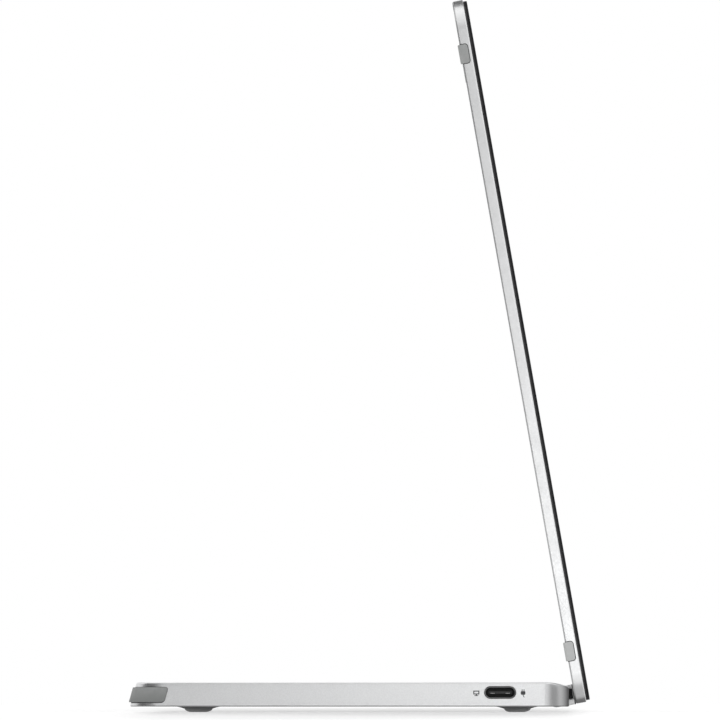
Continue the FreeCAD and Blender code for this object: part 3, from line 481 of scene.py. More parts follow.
# Casing of the base
half_width, base_depth, base_thick = base_extent("base_shell")[1]
BASE_SLANT = 2.0
HINGE_CORNER = 7.0
END_CORNER = 8.0
TOP_EDGE = 0.6
LOWER_EDGE = 0.25
BROW_RUN = 7.0
BROW_DROP = 1.47
SIDE_WALL = 1.6
ROOF_WALL = 1.0
PLATE_RIM = 0.8
plate_thick = base_extent("base_bottom_plate")[1][2]
brow_radius = (BROW_RUN ** 2 + BROW_DROP ** 2) / (2 * BROW_DROP)
NOTCH_GAP = 0.4
notch_half = display_extent("hinge_bar")[1][0] + NOTCH_GAP
notch_depth = hinge[1] - base_origin[1] + display_extent("hinge_bar")[1][1] + NOTCH_GAP
WINDOW_STOPS = 18
RIM_SHADE_FADE = 0.12
RIM_PAINTED_SHADE = -1.0
EDGE_POLISH = 0.7
TOP_POLISH = 0.2


def middle(extent):
    """Point halfway between the lowest and the highest corner."""
    return (extent[0] + extent[1]) / 2


port_extent = base_extent("left_usb_c_shell")
port_middle = middle(port_extent)
power_middle = middle(base_extent("power_button"))
rocker_middle = middle(base_extent("brightness_rocker"))
port_half_width, port_half_height = (port_extent[1] - port_extent[0])[1:] / 2
PORT_MARGIN = 0.22
KEY_HALF_HEIGHT = 1.1
KEY_MARGIN = 0.18
POWER_HALF_WIDTH = 4.5
ROCKER_HALF_WIDTH = 8.0
WINDOW_MARGIN = 2.6
WINDOW_EDGE = 0.1
# Each opening in a side wall: sides, middle along the wall, half width, half height
windows = [
    ((-1, 1), port_middle[1], port_half_width + PORT_MARGIN, port_half_height + PORT_MARGIN),
    ((1,), power_middle[1], POWER_HALF_WIDTH + KEY_MARGIN, KEY_HALF_HEIGHT + KEY_MARGIN),
    ((1,), rocker_middle[1], ROCKER_HALF_WIDTH + KEY_MARGIN, KEY_HALF_HEIGHT + KEY_MARGIN),
]
window_stops = np.concatenate([
    np.linspace(at - half - WINDOW_MARGIN, at + half + WINDOW_MARGIN, WINDOW_STOPS)
    for sides, at, half, height in windows
])


def end_depth(height):
    """Depth of the slanted free end at a height."""
    return base_depth - BASE_SLANT * height / base_thick


def brow(y):
    """Height of the top: level, then falling along a circle over the last stretch to the hinge end."""
    short = np.maximum(BROW_RUN - y, 0)
    return base_thick - brow_radius + np.sqrt(brow_radius ** 2 - short ** 2)


def casing_half(inset, height):
    """Right half of the casing's plan: down the notch's wall, along the horn, round the hinge corner,
    along the side, round the free corner and back to the notch's width, all drawn in by the inset."""
    corner = arc((half_width - HINGE_CORNER, HINGE_CORNER), HINGE_CORNER - inset, -90, 0, CORNER_STEPS)
    rows = np.append(corner[:, 1], notch_depth + inset)
    inner = np.stack([np.full(len(rows), notch_half + inset), rows], -1)[::-1]
    stops = np.append(notch_depth + inset, window_stops)
    side = np.stack([np.full(len(stops), half_width - inset), stops], -1)
    depth = end_depth(height)
    end = arc((half_width - END_CORNER, depth - END_CORNER), END_CORNER - inset, 0, 90, CORNER_STEPS)
    return np.vstack([inner, corner, side, end, [[notch_half + inset, depth - inset]]])


def under_brow(points, height):
    """Plan points set at a height that shrinks with the brow."""
    return raised(points, height * brow(points[..., 1]) / base_thick)


def casing_sheet(inset, height):
    """Sheets that close the casing's plan at one height: one across each horn beside the notch,
    and one across the whole width behind it."""
    half = casing_half(inset, height)
    rows = CORNER_STEPS + 1
    inner = half[:rows][::-1]
    outer = half[rows:rows * 2]
    horn = np.stack([inner, outer], 1)
    rim = half[rows * 2 - 1:-1]
    straight = np.full(len(rim), notch_half + inset)
    columns = np.stack([-rim[:, 0], -straight, straight, rim[:, 0]], 1)
    field = np.stack([columns, np.repeat(rim[:, 1:], 4, 1)], -1)
    return [skin(under_brow(sheet, height)) for sheet in (horn, horn * [-1, 1], field)]


def stadium_loop(at, up, half, height, x):
    """Outline of a round-ended opening in a side wall, point for point opposite its window's border:
    lower half from end to end, far tip, upper half back, near tip."""
    quarter = WINDOW_STOPS // 2
    step = 90 / quarter
    lower = np.concatenate([180 + step * np.arange(1, quarter + 1), 270 + step * np.arange(quarter)])
    angle = np.radians(np.concatenate([lower, [360], 360 - lower[::-1], [180]]))
    ends = np.concatenate([np.repeat([-1, 1], quarter), [1], np.repeat([1, -1], quarter), [-1]])
    y = at + ends * (half - height) + height * np.cos(angle)
    return np.stack([np.full(len(y), x), y, up + height * np.sin(angle)], -1)


def casing():
    """Shell of the base as rings of its plan, from the roof inside, down the inner wall, round the rim,
    up the outer wall and over the top edge, with openings in the side walls."""
    up = port_middle[2]
    wall_top = base_thick - TOP_EDGE
    inside = [(SIDE_WALL, base_thick - ROOF_WALL), (SIDE_WALL, up), (SIDE_WALL, plate_thick)]
    rim = [(PLATE_RIM, plate_thick), (PLATE_RIM, 0), (LOWER_EDGE, 0), (0, LOWER_EDGE)]
    wall = [(0, LOWER_EDGE + RIM_SHADE_FADE), (0, up), (0, wall_top)]
    levels = inside + rim + wall + round_edge(0, base_thick, TOP_EDGE)[1:]
    plans = [(mirrored(casing_half(inset, height)), height) for inset, height in levels]
    rings = np.stack([under_brow(plan, height) for plan, height in plans])
    rows, columns = rings.shape[:2]
    wall_row = len(inside + rim)
    kept = np.ones((rows - 1, columns), bool)
    first = CORNER_STEPS * 2 + 2
    openings = []
    for number, (sides, at, half, height) in enumerate(windows):
        stops = first + number * WINDOW_STOPS + np.arange(WINDOW_STOPS)
        for side in sides:
            column = stops if side > 0 else columns - 1 - stops
            start = column.min()
            for row in (0, wall_row):
                kept[row:row + 2, start:start + WINDOW_STOPS - 1] = False
            border = [
                np.concatenate([rings[low, column], rings[mid, column[-1:]],
                                rings[high, column[::-1]], rings[mid, column[:1]]])
                for low, mid, high in ((wall_row, wall_row + 1, wall_row + 2), (2, 1, 0))
            ]
            outer = side * half_width
            openings.append(skin(np.stack([
                border[0],
                stadium_loop(at, up, half + WINDOW_EDGE, height + WINDOW_EDGE, outer),
                stadium_loop(at, up, half, height, outer - side * WINDOW_EDGE),
                stadium_loop(at, up, half, height, outer - side * SIDE_WALL),
                border[1],
            ]), closed_columns=True))
    polish_and_shade = np.zeros(rows)
    # Painted shade: the rows round the lower rim's chamfer are darkened, for the shade from the floor
    # beneath it; the top edge is polished.
    polish_and_shade[wall_row - 3:wall_row] = RIM_PAINTED_SHADE
    polish_and_shade[wall_row + 3:] = EDGE_POLISH
    polish_and_shade[-1] = TOP_POLISH
    shell = skin(rings, closed_columns=True, kept=kept, wear_and_shade=polish_and_shade[:, None])
    return [shell] + openings + casing_sheet(*levels[0]) + casing_sheet(*levels[-1])


piece("base_casing", "base", aluminium, casing(), stands_for=["base_shell"])

# Rubber pieces wrapped round a corner
PAD_EDGE = 0.2
PAD_STOPS = 60
PAD_JOINT_SHADE = 0.22
BUMPER_JOINT_SHADE = 0.1
BUMPER_SHADE = 0.14
JOINT_SHADE_LIFT = 0.02


def round_corner(side, flank, end, corner, before, swell=0.0):
    """A surface along a flank, round a corner and along an end, by run s, height z and lift: the
    corner's angle is the run past the straight stretch over its radius; the lift may swell towards
    the end."""
    turn = corner * math.pi / 2

    def surface(points):
        z, s, lift = np.moveaxis(points, -1, 0)
        angle = np.clip((s - before) / corner, 0, math.pi / 2)
        reach = corner + lift * (1 + swell * np.sin(angle))
        x = flank - corner + reach * np.cos(angle) - np.maximum(s - before - turn, 0)
        y = end(z) - corner + reach * np.sin(angle) + np.minimum(s - before, 0)
        return np.stack([side * x, y, z], -1)

    return surface


def pad_half(run, low, high, corner):
    """Right half of a pad's outline, as (height from its middle, run), for any inset."""
    return lambda inset: rounded_half((high - low) / 2, 0, run, corner, inset, PAD_STOPS)


def on_corner(skins, low, high, surface):
    """A pad's sheets laid on a surface, at their own height."""
    return turned(skins, lambda points: surface(points + [(low + high) / 2, 0, 0]))


def wrapped_pad(run, low, high, corner, proud, sunk, surface):
    """A rubber pad: rounded rectangle of run by height, sunk below the surface, outer edge round."""
    levels = [(0, -sunk)] + round_edge(0, proud, PAD_EDGE)
    return on_corner(stack(pad_half(run, low, high, corner), levels), low, high, surface)


def pad_joint_shade(run, low, high, corner, sunk, surface, width):
    """Painted shade in the joint round a pad: a flat dark band just outside its outline, a hair above
    the metal.
    """
    levels = [(-width, -sunk), (-width, JOINT_SHADE_LIFT), (PAD_EDGE, JOINT_SHADE_LIFT), (PAD_EDGE, -sunk)]
    return on_corner(hoop(pad_half(run, low, high, corner), levels), low, high, surface)


BUMPER_RUN = 9.8
BUMPER_WRAP = 26.0
BUMPER_OUT = 0.72
BUMPER_SUNK = 0.5
BUMPER_ROUND = 0.9
bumper_low, bumper_high = (extent[2] for extent in base_extent("left_end_bumper"))
bumper_length = BUMPER_RUN - END_CORNER + END_CORNER * math.pi / 2 + BUMPER_WRAP - END_CORNER
for name, side in (("left", -1), ("right", 1)):
    surface = round_corner(side, half_width, end_depth, END_CORNER, BUMPER_RUN - END_CORNER)
    shape = (bumper_length, bumper_low, bumper_high, BUMPER_ROUND)
    piece(name + "_bumper", "base", finishes["edge_rubber"],
          wrapped_pad(*shape, BUMPER_OUT, BUMPER_SUNK, surface), stands_for=[name + "_end_bumper"])
    # Painted shade: the joint's dark band is let down further below the bumper, for the shadow under
    # it.
    below = (bumper_length, bumper_low - BUMPER_SHADE, bumper_high, BUMPER_ROUND)
    piece(name + "_bumper_seam", "base", joint_shade,
          pad_joint_shade(*below, BUMPER_SUNK, surface, BUMPER_JOINT_SHADE))

# Foot strips
FOOT_WING = 0.4
FOOT_FLARE = 2.6
FOOT_FLARE_DROP = 0.65
FOOT_FLARE_POWER = 1.3
FOOT_DOME = 3.0
FOOT_STEPS = 10


def foot_levels(low):
    """Profile of a foot as (inset, height): a thin flange whose drop grows as a power of the way in,
    then a dome that curves into the sole as a quarter ellipse."""
    share = np.linspace(0, 1, FOOT_STEPS)
    flare = np.stack([FOOT_FLARE * share - FOOT_WING, -FOOT_FLARE_DROP * share ** FOOT_FLARE_POWER], -1)
    angle = share * math.pi / 2
    reach = -low - FOOT_FLARE_DROP
    dome = np.stack([FOOT_FLARE - FOOT_WING + FOOT_DOME * (1 - np.cos(angle)),
                     low + reach * (1 - np.sin(angle))], -1)
    return flare.tolist() + dome[1:].tolist()


for name in ("front", "rear"):
    foot_low, foot_high = base_extent(name + "_foot_strip")
    foot_middle = middle((foot_low, foot_high))
    foot_half_length, foot_half_width = (foot_high - foot_low)[:2] / 2
    skins = stack(lambda inset: stadium_half(foot_half_length, foot_half_width, inset),
                  foot_levels(foot_low[2]))
    piece(name + "_foot", "base", finishes["foot_rubber"],
          turned(skins, lambda points: points + [0, foot_middle[1], 0]),
          stands_for=[name + "_foot_strip"])

# Sockets in both sides
PORT_WALL = 0.3
LIP_WIDE = -0.17
LIP_RADIUS = 0.18
LIP_FORWARD = 0.12
LIP_NECK = 0.35
LIP_STEPS = 13
CONTACT_HALF = (0.65, 0.12)
CONTACT_SPREAD = 2.22
CONTACT_BELOW = 0.22
CONTACT_OUT = 0.14
CONTACT_ROUND = 0.1
mouth = -port_extent[0][0]
socket_back = -port_extent[1][0]
tongue_tip = -base_extent("left_usb_c_tongue")[0][0]


def on_side(side, at, up):
    """Points given along the wall, up it and out of it, set on one side of the base."""
    return lambda points: points[..., [2, 0, 1]] * [side, 1, 1] + [0, at, up]


def socket_profile():
    """Section of a socket's drawn shell as (inset, depth): straight wall, flare to a lip rolled as a
    half circle, and back along the inside."""
    angle = np.linspace(0, math.pi, LIP_STEPS)
    rolled = np.stack([LIP_WIDE + LIP_RADIUS * (1 - np.cos(angle)),
                       mouth + LIP_FORWARD + LIP_RADIUS * np.sin(angle)], -1)
    return ([(0, socket_back), (0, mouth - LIP_NECK)] + rolled.tolist()
            + [(PORT_WALL, mouth - LIP_NECK), (PORT_WALL, socket_back)])


contact_levels = [(0, tongue_tip - CONTACT_OUT)]
contact_levels += round_edge(0, tongue_tip + CONTACT_OUT, CONTACT_ROUND)
for name, side in (("left", -1), ("right", 1)):
    drawn = hoop(lambda inset: stadium_half(port_half_width, port_half_height, inset), socket_profile())
    piece(name + "_socket", "base", finishes["socket_steel"],
          turned(drawn, on_side(side, port_middle[1], port_middle[2])),
          stands_for=[name + "_usb_c_shell"])
    lugs = []
    for along in (-CONTACT_SPREAD, CONTACT_SPREAD):
        lug = stack(lambda inset: stadium_half(*CONTACT_HALF, inset), contact_levels)
        lugs += turned(lug, on_side(side, port_middle[1] + along, port_middle[2] - CONTACT_BELOW))
    piece(name + "_socket_contacts", "base", contact_metal, lugs)

# Plain signs printed beside the left socket: a screen, and a plug
INK_HEIGHT = 0.012
INK_SUNK = 0.02
SCREEN_SIGN = (27.2, 3.93)
PLUG_SIGN = (13.45, 3.96)
SIGN_STROKE = 0.3
# Patches of the signs: half width, lower end, upper end, corner radius
SCREEN_FRAME = (0.9, -0.36, 0.78, 0.1)
SCREEN_NECK = (0.16, -0.62, -0.3, 0.03)
SCREEN_FOOT = (0.6, -0.8, -0.6, 0.05)
PLUG_BODY = (0.68, -0.48, 0.58, 0.3)
PLUG_PIN = (0.12, 0.4, 1.12, 0.06)
PLUG_TAIL = (0.12, -1.25, -0.35, 0.08)
PIN_SPREAD = 0.28
TAIL_BEND = 0.45
ink_low = half_width - INK_SUNK
ink_high = half_width + INK_HEIGHT


def printed(half, low, high, radius, shift=0.0):
    """A printed patch: rounded rectangle, moved along by a shift."""
    patch = stack(lambda inset: rounded_half(half, low, high, radius, inset),
                  [(0, ink_low), (0, ink_high)])
    return turned(patch, lambda points: points + [shift, 0, 0])


def screen_sign():
    """Outline of a screen as a closed band of one stroke, over a short stand."""
    half, low, high, radius = SCREEN_FRAME
    stroke = [(0, ink_low), (0, ink_high), (SIGN_STROKE, ink_high), (SIGN_STROKE, ink_low)]
    band = hoop(lambda inset: rounded_half(half - inset, low + inset, high - inset, radius), stroke)
    return band + printed(*SCREEN_NECK) + printed(*SCREEN_FOOT)


def plug_sign():
    """A round-cornered plug with two pins and a tail that bends aside as the square of the way down."""
    def bent(points):
        along, up, out = np.moveaxis(points, -1, 0)
        return np.stack([along - TAIL_BEND * (up - PLUG_TAIL[2]) ** 2, up, out], -1)

    pins = printed(*PLUG_PIN, -PIN_SPREAD) + printed(*PLUG_PIN, PIN_SPREAD)
    return printed(*PLUG_BODY) + pins + turned(printed(*PLUG_TAIL), bent)


for name, sign, (at, up) in (("screen_sign", screen_sign(), SCREEN_SIGN),
                             ("plug_sign", plug_sign(), PLUG_SIGN)):
    piece(name, "base", ink, turned(sign, on_side(-1, at, up)))

# Keys on the right side
KEY_ROUND = 0.3
for name, node, half, at in (("power_key", "power_button", POWER_HALF_WIDTH, power_middle),
                             ("rocker_key", "brightness_rocker", ROCKER_HALF_WIDTH, rocker_middle)):
    key_extent = base_extent(node)
    key_levels = [(0, half_width - SIDE_WALL)] + round_edge(0, key_extent[1][0], KEY_ROUND)
    skins = stack(lambda inset: stadium_half(half, KEY_HALF_HEIGHT, inset), key_levels)
    piece(name, node, aluminium,
          turned(skins, on_side(1, at[1], port_middle[2])), stands_for=[node])

# Display housing
back_low, back_high = display_extent("display_back_cover")
BACK_EDGE = 0.4
BACK_FADE = 0.6
SIDE_FADE = 0.15
BACK_EDGE_PAINTED_SHADE = -0.35
SIDE_POLISH = 0.5
FRONT_POLISH = 0.6
FRAME_POLISH = 0.3
FRONT_EDGE = 0.4
TRAY_SIDE = 1.6
TRAY_BACK = 0.8
DISPLAY_CORNER = 9.0
LIP_RISE = 0.45
back_y = back_high[1]
front_y = display_extent("glass_frame")[1][1]
low_z = back_low[2]
high_z = back_high[2] - LIP_RISE


def display_half(inset):
    """Right half of the display's outline in (across, up), drawn in by an inset."""
    return rounded_half(half_width, low_z, high_z, DISPLAY_CORNER, inset, 2)


def upright(points):
    """Points given across, up and along depth, as display-frame coordinates."""
    return points[..., [0, 2, 1]]


front_round = round_edge(0, front_y, FRONT_EDGE, -1)
housing_levels = [(BACK_EDGE + BACK_FADE, back_y), (BACK_EDGE, back_y)]
housing_levels += [(0, back_y - BACK_EDGE), (0, back_y - BACK_EDGE - SIDE_FADE)]
housing_levels += front_round + [(TRAY_SIDE, front_y), (TRAY_SIDE, back_y - TRAY_BACK)]
# Painted shade on the back edge's rounding, darker than the metal around it; polish on the side and the
# front.
housing_wear_and_shade = [0, BACK_EDGE_PAINTED_SHADE, BACK_EDGE_PAINTED_SHADE, SIDE_POLISH]
housing_wear_and_shade += [FRONT_POLISH] * len(front_round) + [FRAME_POLISH, 0]
piece("display_housing", "display", aluminium,
      turned(stack(display_half, housing_levels, housing_wear_and_shade), upright), on_display,
      stands_for=["display_back_cover"])

# Lip for a finger at the top edge of the housing
LIP_HALF_LENGTH = 146.0
LIP_HALF_THICK = 0.3
LIP_ROUND = 0.12
lip_levels = [(0, high_z - LIP_RISE)] + round_edge(0, high_z + LIP_RISE, LIP_ROUND)
lip_skins = stack(lambda inset: stadium_half(LIP_HALF_LENGTH, LIP_HALF_THICK, inset), lip_levels)
piece("finger_lip", "display", aluminium,
      turned(lip_skins, lambda points: points + [0, front_y + LIP_HALF_THICK, 0]), on_display)

# Cover glass
glass_low, glass_high = display_extent("front_glass")
GLASS_EDGE = 0.15
RIM_TURN = 0.5
glass_inset = half_width - glass_high[0]
glass_levels = [(glass_inset, glass_high[1])] + round_edge(glass_inset, glass_low[1], GLASS_EDGE, -1)
glass_sheet = piece("cover_glass_sheet", "display", finishes["cover_glass"],
                    turned(stack(display_half, glass_levels), upright), on_display,
                    stands_for=["front_glass"])
glass_sheet.data.materials.append(blackened_edge())
facing = np.empty(len(glass_sheet.data.polygons) * 3, np.float32)
glass_sheet.data.polygons.foreach_get("normal", facing)
depth_axis = np.array([0, math.cos(LEAN), -math.sin(LEAN)])
rim_faces = np.abs(facing.reshape(-1, 3) @ depth_axis) < RIM_TURN
glass_sheet.data.polygons.foreach_set("material_index", rim_faces.astype(np.int32))

# Edge pads of the display
PAD_REACH = 2.25
PAD_WRAP = 6.0
PAD_OUT = {"left": 0.4, "right": 0.25}
PAD_SWELL = {"left": 0.5, "right": 0.0}
PAD_SUNK = 0.4
PAD_ROUND = 0.8
pad_length = PAD_REACH - BACK_EDGE + BACK_EDGE * math.pi / 2 + PAD_WRAP - BACK_EDGE
for level in ("lower", "upper"):
    for name, side in (("left", -1), ("right", 1)):
        node = "%s_%s_pad" % (level, name)
        pad_low, pad_high = (extent[2] for extent in display_extent(node))
        surface = round_corner(side, half_width, lambda z: back_y, BACK_EDGE, PAD_REACH - BACK_EDGE,
                               PAD_SWELL[name])
        shape = (pad_length, pad_low, pad_high, PAD_ROUND)
        piece(node + "_rubber", "display", lit_pad_rubber,
              wrapped_pad(*shape, PAD_OUT[name], PAD_SUNK, surface), on_display, stands_for=[node])
        # Painted shade: a dark band round each pad for the shadow in its joint.
        piece(node + "_seam", "display", joint_shade,
              pad_joint_shade(*shape, PAD_SUNK, surface, PAD_JOINT_SHADE), on_display)

# Hinge bar with a pocket at each end
BAR_RADIUS = 3.0
BAR_EDGE = 0.15
CAP_DEPTH = 2.0
CAP_WALL = 0.35
BAR_POLISH = 0.6
BAR_END_POLISH = 1.0
JOINT_LIFT = 0.02
JOINT_WIDTH = 0.26
bar_half = display_extent("hinge_bar")[1][0]
cap_low, cap_high = display_extent("left_bar_cap")


def bar_section(inset, x):
    """Section of the hinge bar: a half circle about the axis, then the flat that meets the housing."""
    curve = arc((0, 0), BAR_RADIUS - inset, -90, 90, CORNER_STEPS * 2)
    flat = np.stack([np.full(len(curve), back_y), curve[::-1, 1]], -1)
    return np.insert(np.vstack([curve, flat]), 0, x, 1)


def bar_pocket(x):
    """Outline of the pocket that takes an end cap, point for point opposite the bar's section."""
    rise = np.linspace(cap_low[2], cap_high[2], CORNER_STEPS * 2)
    near = np.stack([np.zeros_like(rise), rise], -1)
    far = np.stack([np.full_like(rise, back_y + CAP_WALL), rise[::-1]], -1)
    return np.insert(np.vstack([near, far]), 0, x, 1)


def hinge_bar():
    """The bar's rings from one pocket's floor over its rim and along the bar to the other's floor."""
    deep = bar_half - CAP_DEPTH
    rings = [bar_pocket(-deep), bar_pocket(-bar_half), bar_section(BAR_EDGE, -bar_half),
             bar_section(0, BAR_EDGE - bar_half), bar_section(0, bar_half - BAR_EDGE),
             bar_section(BAR_EDGE, bar_half), bar_pocket(bar_half), bar_pocket(deep)]
    floors = [np.stack(np.split(ring, 2), 1) for ring in (rings[0], rings[-1])]
    for floor in floors:
        floor[:, 1] = floor[::-1, 1]
    end_polish = [0, BAR_END_POLISH, BAR_END_POLISH, BAR_POLISH]
    polish_and_shade = np.array(end_polish + end_polish[::-1])[:, None]
    return [skin(np.stack(rings), closed_columns=True, wear_and_shade=polish_and_shade)] + [skin(floor) for floor in floors]


piece("hinge_bar_round", "display", aluminium, hinge_bar(), on_display,
      stands_for=["hinge_bar"])


def bar_joint(inset):
    """Right half of the joint's outline: the bar's length by its height, a hair larger."""
    reach = BAR_RADIUS + JOINT_LIFT
    return rounded_half(bar_half + JOINT_LIFT, -reach, reach, BAR_EDGE, inset)


# Painted shade: a dark band round the bar where it meets the housing, for the shadow in that joint.
joint_levels = [(0, back_y - JOINT_LIFT), (0, back_y + JOINT_WIDTH)]
piece("hinge_bar_joint", "display", joint_shade,
      turned(stack(bar_joint, joint_levels), upright), on_display)

# Floor and cards of the studio
FLOOR_FALL = 0.3
FLOOR_FALL_RUN = 4.5
FLOOR_LEVEL_FALL = 0.012
FLOOR_RISE = 1.3
FLOOR_RISE_RUN = 6.5
FLOOR_CREST = 0.14
FLOOR_CREST_RUN = 4.0
FLOOR_CREST_ROWS = np.arange(1, 9) / 4
FLOOR_END = 3000.0
FLOOR_STEP = 0.25
FLOOR_ROWS = 60
FLOOR_COLUMNS = 7
FLOOR_WHITE = 0.88
FLOOR_GLOW = 0.1
FLOOR_GLOW_SCREEN = 0.24
FLOOR_GLOW_BASE = 0.17
FLOOR_GLOW_Y = (60.0, 74.0)
CARD_RADIUS = 350.0
CARD_STEPS = 13


def stage_mesh(name, grid, paper, plain):
    """A sheet of the studio from its grid of points, plain to the camera or only mirrored."""
    points, faces, _ = skin(grid)
    mesh = bpy.data.meshes.new(name)
    mesh.from_pydata((points * MM).tolist(), [], faces.tolist())
    mesh.shade_smooth()
    mesh.materials.append(paper.material)
    made = bpy.data.objects.new(name, mesh)
    bpy.context.scene.collection.objects.link(made)
    for ray in ("camera", "diffuse", "transmission", "shadow"):
        setattr(made, "visible_" + ray, plain)


def matt(name, shade, glow=0.0):
    """Matt paper of one shade, lit through where it glows."""
    return Finish(name, Base_Color=(shade, shade, shade, 1), Roughness=1.0, Specular_IOR_Level=0.0,
                  Emission_Color=(1, 1, 1, 1), Emission_Strength=glow)


def white_paper():
    """White floor paper. Its faint glow fills the shade under the base. Past both ends of the object
    the glow rises evenly over a short stretch, but only for the camera, mirrors and glass."""
    made = matt("white_paper", FLOOR_WHITE)
    rays = made.node("ShaderNodeLightPath").outputs
    mirrored_or_through = made.combine("MAXIMUM", rays["Is Glossy Ray"], rays["Is Transmission Ray"])
    shown = made.combine("MAXIMUM", rays["Is Camera Ray"], mirrored_or_through)
    place = made.along("Y")
    near, far = (end * MM for end in FLOOR_GLOW_Y)
    before_screen = made.between(place, FLOOR_GLOW_SCREEN, FLOOR_GLOW, -far, -near)
    beyond_base = made.between(place, FLOOR_GLOW, FLOOR_GLOW_BASE, near, far)
    past_ends = made.combine("MAXIMUM", before_screen, beyond_base)
    glow = made.combine("MAXIMUM", made.combine("MULTIPLY", past_ends, shown), FLOOR_GLOW)
    made.join(glow, made.shader.inputs["Emission Strength"])
    return made


def graded_paper(name, axis, glows, places):
    """Black paper whose glow changes evenly along one axis, from one place to another."""
    made = matt(name, 0.0)
    glow = made.between(made.along(axis), *glows, *(place * MM for place in places))
    made.join(glow, made.shader.inputs["Emission Strength"])
    return made


def floor_grid():
    """Level under the object, with a slight crest below its near side that dies out as a bell curve;
    before it a fall that flattens out as the way over the way plus a run, onto a faint even slope;
    behind it a rise that settles as the square of the way over the square plus a run squared."""
    away = np.append(0, np.geomspace(FLOOR_STEP, FLOOR_END, FLOOR_ROWS))
    x = np.sort(np.concatenate([-half_width - away, -half_width + FLOOR_CREST_RUN * FLOOR_CREST_ROWS,
                                half_width + away]))
    y = np.linspace(FLOOR_END, -FLOOR_END, FLOOR_COLUMNS)
    before = np.maximum(-half_width - x, 0)
    behind = np.maximum(x - half_width, 0)
    fall = FLOOR_FALL * before * FLOOR_FALL_RUN / (before + FLOOR_FALL_RUN) + FLOOR_LEVEL_FALL * before
    rise = FLOOR_RISE * behind ** 2 / (behind ** 2 + FLOOR_RISE_RUN ** 2)
    crest = FLOOR_CREST * np.exp(-(np.maximum(x + half_width, 0) / FLOOR_CREST_RUN) ** 2)
    return np.stack(np.broadcast_arrays(x[:, None], y[None, :], (crest + rise - fall)[:, None]), -1)


def bent_card(angles, heights):
    """A card bent on an upright cylinder about the side nearest the camera, between two angles from the
    camera's direction and two heights."""
    angle = np.radians(np.linspace(*angles, CARD_STEPS))[:, None]
    x = -half_width - CARD_RADIUS * np.cos(angle)
    y = CARD_RADIUS * np.sin(angle)
    return np.stack(np.broadcast_arrays(x, y, np.array(heights)[None, :]), -1)


def flat_card(*edges):
    """A card between two opposite edges, each given by its two ends."""
    return np.array(edges, float)


stage_mesh("floor", floor_grid(), white_paper(), True)
# Bent cards that only mirrors show: glow, angles and heights
for name, glow, angles, heights in (
    ("card_left_grey", 0.1, (5.5, 45), (-100, 70)),
    ("card_left_high", 0.16, (-1, 45), (70, 360)),
    ("card_left_black", 0.0, (45, 95), (-100, 360)),
):
    stage_mesh(name, bent_card(angles, heights), matt(name, 0.0, glow), False)
# Flat cards that only mirrors show: glow and two edges
for name, glow, first, second in (
    ("card_above_display", 0.12,
     ((-143, -38, 211.5), (-143, -38, 240)), ((-143, -10, 211.5), (-143, -10, 240))),
    ("card_below_display", 0.55,
     ((-164, -71, 0.4), (-150, -71, 0.4)), ((-164, -61.6, 0.4), (-150, -61.6, 0.4))),
    ("card_in_gap", 0.8,
     ((-103, -64, -1), (-103, -64, 4.2)), ((-103, -55, -1), (-103, -55, 4.2))),
    ("card_under_display", 0.15,
     ((-150, -70, 0.4), (-120, -70, 0.4)), ((-150, -58, 0.4), (-120, -58, 0.4))),
):
    stage_mesh(name, flat_card(first, second), matt(name, 0.0, glow), False)
# Flat cards whose glow changes along an axis: axis, glows, their places, and two edges
for name, axis, glows, places, first, second in (
    ("card_beside_hinge", "Y", (0.36, 1.0), (-57.5, -54.6),
     ((-156.7, -62.8, 1.2), (-156.7, -62.8, 8)), ((-157.6, -54.6, 1.2), (-157.6, -54.6, 9.5))),
    ("card_behind_display", "X", (0.63, 0.12), (-154.6, -150.2),
     ((-156.6, -62.2, 1.2), (-156.6, -62.2, 9.5)), ((-147, -62.2, 1.2), (-147, -62.2, 9.5))),
):
    stage_mesh(name, flat_card(first, second), graded_paper(name, axis, glows, places), False)

# Light
world = bpy.data.worlds.new("white_studio")
world.use_nodes = True
world.cycles.sampling_method = "NONE"
bpy.context.scene.world = world
tree = world.node_tree
rays = tree.nodes.new("ShaderNodeLightPath").outputs


def light_step(kind, first, second):
    """One arithmetic step on the kind of ray that meets the background."""
    made = tree.nodes.new("ShaderNodeMath")
    made.operation = kind
    tree.links.new(first, made.inputs[0])
    if isinstance(second, float):
        made.inputs[1].default_value = second
    else:
        tree.links.new(second, made.inputs[1])
    return made.outputs[0]


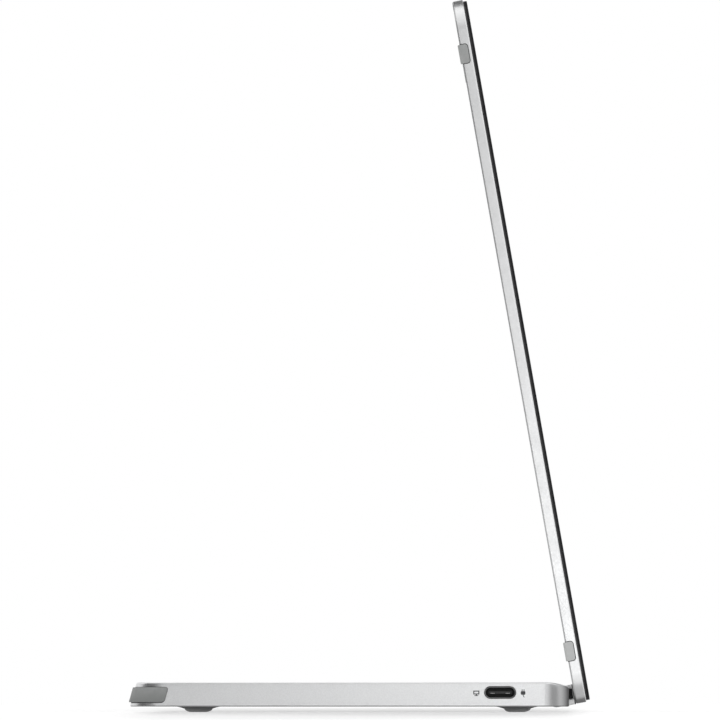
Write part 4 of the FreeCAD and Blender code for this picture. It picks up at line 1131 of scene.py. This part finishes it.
mirrored_rays = light_step("MAXIMUM", rays["Is Glossy Ray"], rays["Is Transmission Ray"])
first_hand = light_step("LESS_THAN", rays["Diffuse Depth"], 0.5)
mirrored_first = light_step("MULTIPLY", mirrored_rays, first_hand)
seen = light_step("MAXIMUM", rays["Is Camera Ray"], mirrored_first)
lit = light_step("MAXIMUM", seen, rays["Is Diffuse Ray"])
tree.links.new(lit, tree.nodes["Background"].inputs["Strength"])
tree.nodes["Background"].inputs["Color"].default_value = (1, 1, 1, 1)


def soft_lamp(name, at, aim, size, watts):
    """A soft rectangular lamp, unseen by the camera, aimed at a point; lengths are in metres."""
    light = bpy.data.lights.new(name, "AREA")
    light.shape = "RECTANGLE"
    light.size, light.size_y = size
    light.energy = watts
    lamp = bpy.data.objects.new(name, light)
    lamp.location = at
    lamp.rotation_euler = (Vector(aim) - Vector(at)).to_track_quat("-Z", "Y").to_euler()
    lamp.visible_camera = False
    bpy.context.scene.collection.objects.link(lamp)


soft_lamp("lamp_above", at=(0.0, 0.1, 1.2), aim=(0, 0, 0), size=(1.2, 1.2), watts=1.0)
soft_lamp("lamp_before", at=(-0.556, -0.06, 0.015), aim=(-0.156, -0.06, 0.015), size=(0.2, 0.1),
          watts=0.068)

# Camera: square on to the left side, level with the hinge, from far off
PIXELS = 720
PIXELS_PER_MM = 3.4
HINGE_TO_CENTRE = 57.7
CENTRE_Z = 103.7
EYE_FORWARD = 10.0
LENS = 1700.0
CLIP_END = 100.0
camera_data = bpy.data.cameras.new("camera")
camera_data.lens = LENS
camera_data.clip_end = CLIP_END
view_width = PIXELS / PIXELS_PER_MM
distance = view_width * LENS / camera_data.sensor_width
camera = bpy.data.objects.new("camera", camera_data)
eye = Vector((-half_width - distance, hinge[1] - EYE_FORWARD, hinge[2])) * MM
target = Vector((-half_width, hinge[1] + HINGE_TO_CENTRE, CENTRE_Z)) * MM
camera.location = eye
camera.rotation_euler = (target - eye).to_track_quat("-Z", "Y").to_euler()
bpy.context.scene.collection.objects.link(camera)
bpy.context.scene.camera = camera
bpy.context.scene.view_settings.view_transform = "Standard"
